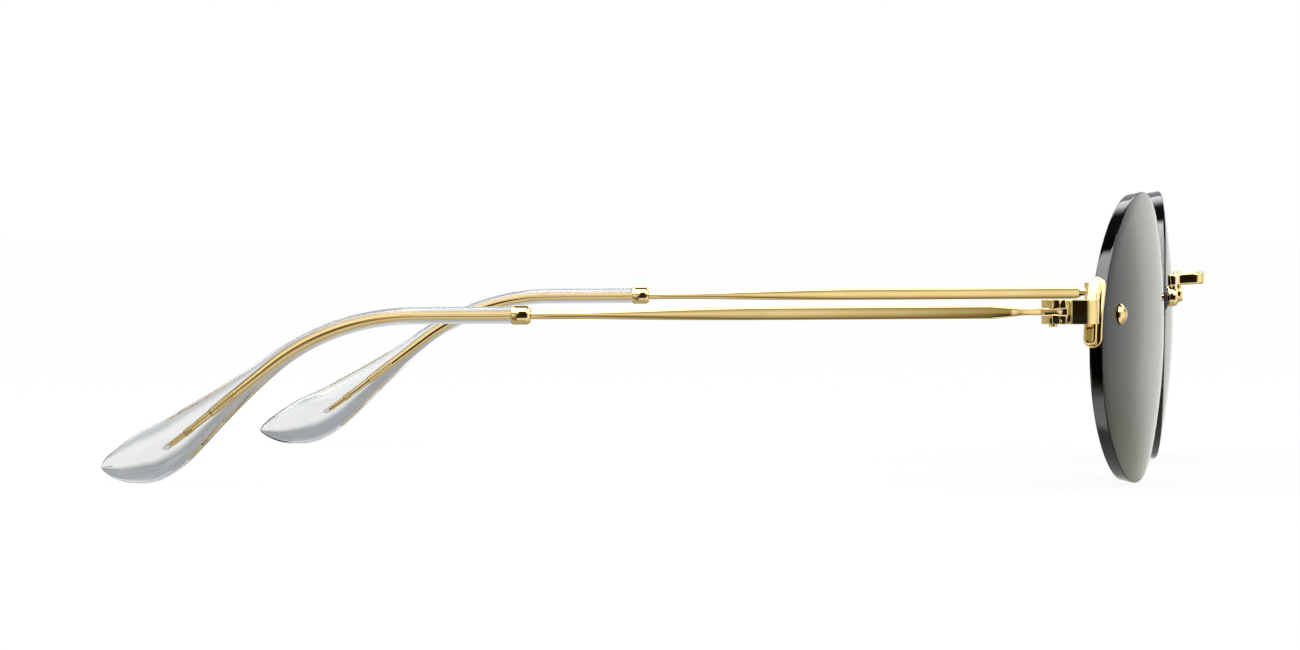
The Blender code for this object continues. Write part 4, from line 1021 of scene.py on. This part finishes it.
tree.links.new(mathNode(tree, "MULTIPLY", seen.outputs["Is Camera Ray"], floorSize["glow"]), lit.inputs[0])
tree.links.new(shader.outputs[0], lit.inputs[1])
tree.links.new(glow.outputs[0], lit.inputs[2])
tree.links.new(lit.outputs[0], tree.nodes["Material Output"].inputs["Surface"])
floorMesh.materials.append(floorFinish)

world = bpy.data.worlds.new("studio")
scene.world = world
world.use_nodes = True
tree = world.node_tree
backdrop = tree.nodes["Background"]
direction = addNode(tree, "ShaderNodeSeparateXYZ")
tree.links.new(addNode(tree, "ShaderNodeTexCoord").outputs["Generated"], direction.inputs[0])
x, y, z = direction.outputs


def times(a, b):
    return mathNode(tree, "MULTIPLY", a, b)


def ease(value, low, high, start=0.0, end=1.0):
    return rangeNode(tree, value, low, high, start, end, True)


def between(value, rise, fall):  # 1 between two soft edges
    return times(ease(value, *rise), ease(value, *fall, 1.0, 0.0))


def mixed(factor, a, b):
    return mixNode(tree, factor, a, b)


def shifted(start, mask, by):  # moves a level where the mask is
    return mathNode(tree, "MULTIPLY_ADD", mask, by, start)


# compass: 0.5 faces the near side, 0.75 the front, 0.25 the back, 0 and 1 the far side
compass = mathNode(tree, "ARCTAN2", times(y, -1.0), times(x, -1.0))
compass = mathNode(tree, "MULTIPLY_ADD", compass, 1 / math.tau, 0.5)
wallStops = [(0.0, 0.90), (0.03, 0.80), (0.08, 0.60), (0.25, 0.55), (0.32, 0.45), (0.40, 0.42), (0.43, 0.34),
             (0.452, 0.32), (0.466, 0.70), (0.474, 1.05), (0.484, 1.15), (0.4868, 1.10), (0.4911, 0.85),
             (0.4942, 0.57), (0.4956, 0.40), (0.5, 0.08), (0.508, 0.015), (0.64, 0.015), (0.655, 0.25),
             (0.668, 0.6), (0.69, 1.0), (0.75, 1.2), (0.80, 1.0), (0.86, 0.76), (0.882, 0.80), (0.897, 0.92),
             (0.915, 1.05), (0.93, 1.26), (0.947, 1.24), (0.963, 1.10), (0.978, 1.0)]
wall = addNode(tree, "ShaderNodeValToRGB")
while len(wall.color_ramp.elements) < len(wallStops):
    wall.color_ramp.elements.new(0.5)
for stop, (position, value) in zip(wall.color_ramp.elements, wallStops):
    stop.position = position
    warm = max(0.0, 0.8 - value) if 0.1 < position < 0.65 else 0.0  # tan cards behind and beside the camera
    stop.color = (value * 0.98, value * (1.01 - 0.3 * warm), value * (0.95 - 1.1 * warm), 1)
tree.links.new(compass, wall.inputs[0])
# far off, the floor's mirror image is darker than the wall above it
farFloor = times(ease(x, 0.3, 0.7), ease(z, -0.14, -0.05, 0.9, 0.0))
band = mixed(farFloor, wall.outputs[0], (0.64, 0.665, 0.54, 1))

# cards on the near side: one the wires see, one behind it, and dark flags in front of it
wireCard = between(compass, (0.462, 0.474), (0.493, 0.498))
rearCard = between(compass, (0.325, 0.345), (0.42, 0.435))
flag = between(compass, (0.493, 0.498), (0.64, 0.66))
tallFlag = between(compass, (0.498, 0.503), (0.56, 0.58))
darkTan = (0.12, 0.085, 0.03, 1)
height = mathNode(tree, "ABSOLUTE", z)
band = mixed(times(wireCard, rangeNode(tree, height, 0.02, 0.30, 0.0, 0.62)), band, darkTan)
band = mixed(times(wireCard, ease(z, -0.50, -0.32, 0.75, 0.0)), band, darkTan)
lowStrip = times(between(compass, (0.335, 0.36), (0.63, 0.66)), mathNode(tree, "SUBTRACT", 1.0, wireCard))
band = mixed(times(lowStrip, ease(z, -0.13, -0.06, 1.0, 0.0)), band, (0.02, 0.02, 0.02, 1))

# soft boxes: one over the far side, and one over the near side that is hotter where the lens edges mirror it
edgeLight = mixed(ease(y, 0.25, 0.34), (2.6, 2.62, 2.7, 1), (3.6, 3.65, 3.8, 1))
overhead = mixed(ease(z, 0.40, 0.46), (0.50, 0.51, 0.53, 1), edgeLight)
front = times(between(y, (0.11, 0.15), (0.20, 0.27)), ease(x, 0.30, 0.45, 1.0, 0.0))
zenith = mixed(front, (0.05, 0.05, 0.055, 1), (9.0, 9.0, 9.0, 1))
overhead = mixed(ease(z, 0.54, 0.72), overhead, zenith)
hot = mixed(ease(y, 0.12, 0.18), (3.0, 3.0, 2.9, 1), (10.0, 10.0, 10.0, 1))
hot = mixed(ease(y, 0.28, 0.40), hot, (6.6, 6.6, 6.4, 1))
softbox = mixed(ease(z, 0.66, 0.76), (2.5, 2.5, 2.5, 1), hot)
upper = mixed(ease(x, 0.02, 0.14), softbox, overhead)
farSide = ease(x, -0.25, 0.35)
liftStart = shifted(rangeNode(tree, farSide, 0.0, 1.0, 0.28, 0.07), tallFlag, 0.34)
liftStart = shifted(liftStart, wireCard, 0.17)
lift = rangeNode(tree, mathNode(tree, "SUBTRACT", z, liftStart), 0.0, 0.13, 0.0, 1.0)
studio = mixed(lift, band, upper)

# the floor starts lower in front of the cards
floorTop = shifted(shifted(shifted(-0.28, flag, -0.22), wireCard, -0.56), rearCard, -0.32)
ground = mixed(ease(z, -0.92, -0.80, 1.0, 0.0), (0.92, 0.92, 0.90, 1), (0.50, 0.50, 0.48, 1))
ground = mixed(ease(x, 0.10, 0.30), ground, (0.48, 0.48, 0.46, 1))
spill = times(ease(x, 0.02, 0.20, 1.0, 0.0), ease(y, 0.35, 0.45))
ground = mixed(times(spill, ease(z, -0.78, -0.68, 1.0, 0.0)), ground, (2.4, 2.4, 2.3, 1))
aboveFloor = mathNode(tree, "SUBTRACT", z, floorTop)
studio = mixed(ease(aboveFloor, -0.14, 0.0, 1.0, 0.0), studio, ground)

# straight through clear pieces: pale floor just below the horizon, grey wall above and grey steeply below
through = mixed(ease(z, -0.01, 0.10), (0.89, 0.90, 0.90, 1), (0.36, 0.375, 0.385, 1))
through = mixed(ease(z, 0.40, 0.70), through, (0.66, 0.68, 0.70, 1))
through = mixed(ease(z, -0.50, -0.22, 1.0, 0.0), through, (0.50, 0.52, 0.54, 1))
nearBy = mixed(ease(z, 0.36, 0.48), studio, (1.1, 1.1, 1.1, 1))
nearBy = mixed(ease(z, -0.74, -0.62, 1.0, 0.0), nearBy, (0.8, 0.8, 0.8, 1))
through = mixed(ease(x, -0.15, 0.15, 1.0, 0.0), through, nearBy)
ray = addNode(tree, "ShaderNodeLightPath")
colour = mixed(ray.outputs["Is Glossy Ray"], (0.85, 0.85, 0.85, 1), studio)
colour = mixed(ray.outputs["Is Transmission Ray"], colour, through)
colour = mixed(ray.outputs["Is Camera Ray"], colour, (1, 1, 1, 1))
tree.links.new(colour, backdrop.inputs["Color"])
backdrop.inputs["Strength"].default_value = 1.0

lampSize = {"place": (-0.35, -0.25, 0.9), "width": 0.8, "watts": 3.2}
lampData = bpy.data.lights.new("softbox", "AREA")
lampData.shape = "SQUARE"
lampData.size = lampSize["width"]
lampData.energy = lampSize["watts"]
lamp = bpy.data.objects.new("softbox", lampData)
lamp.location = lampSize["place"]
lamp.rotation_euler = (Vector((0, 0, 0.02)) - lamp.location).to_track_quat("-Z", "Y").to_euler()
lamp.visible_glossy = False
lamp.visible_transmission = False
scene.collection.objects.link(lamp)

cameraSize = {"place": (-832.6 * mm, -98.76 * mm, 44.0 * mm), "yaw": 7.18, "pitch": 1.52, "roll": 0.15,
              "lens": 150.67, "sensor": 36.0}
yaw, pitch = math.radians(cameraSize["yaw"]), math.radians(cameraSize["pitch"])
cameraData = bpy.data.cameras.new("camera")
cameraData.lens = cameraSize["lens"]
cameraData.sensor_width = cameraSize["sensor"]
cameraData.clip_start = 0.01
camera = bpy.data.objects.new("camera", cameraData)
camera.location = cameraSize["place"]
facing = Vector((math.cos(yaw) * math.cos(pitch), math.sin(yaw) * math.cos(pitch), -math.sin(pitch)))
turned = facing.to_track_quat("-Z", "Y").to_matrix()
turned = turned @ Matrix.Rotation(math.radians(cameraSize["roll"]), 3, "Z")
camera.rotation_euler = turned.to_euler()
scene.collection.objects.link(camera)
scene.camera = camera
print("stage done")
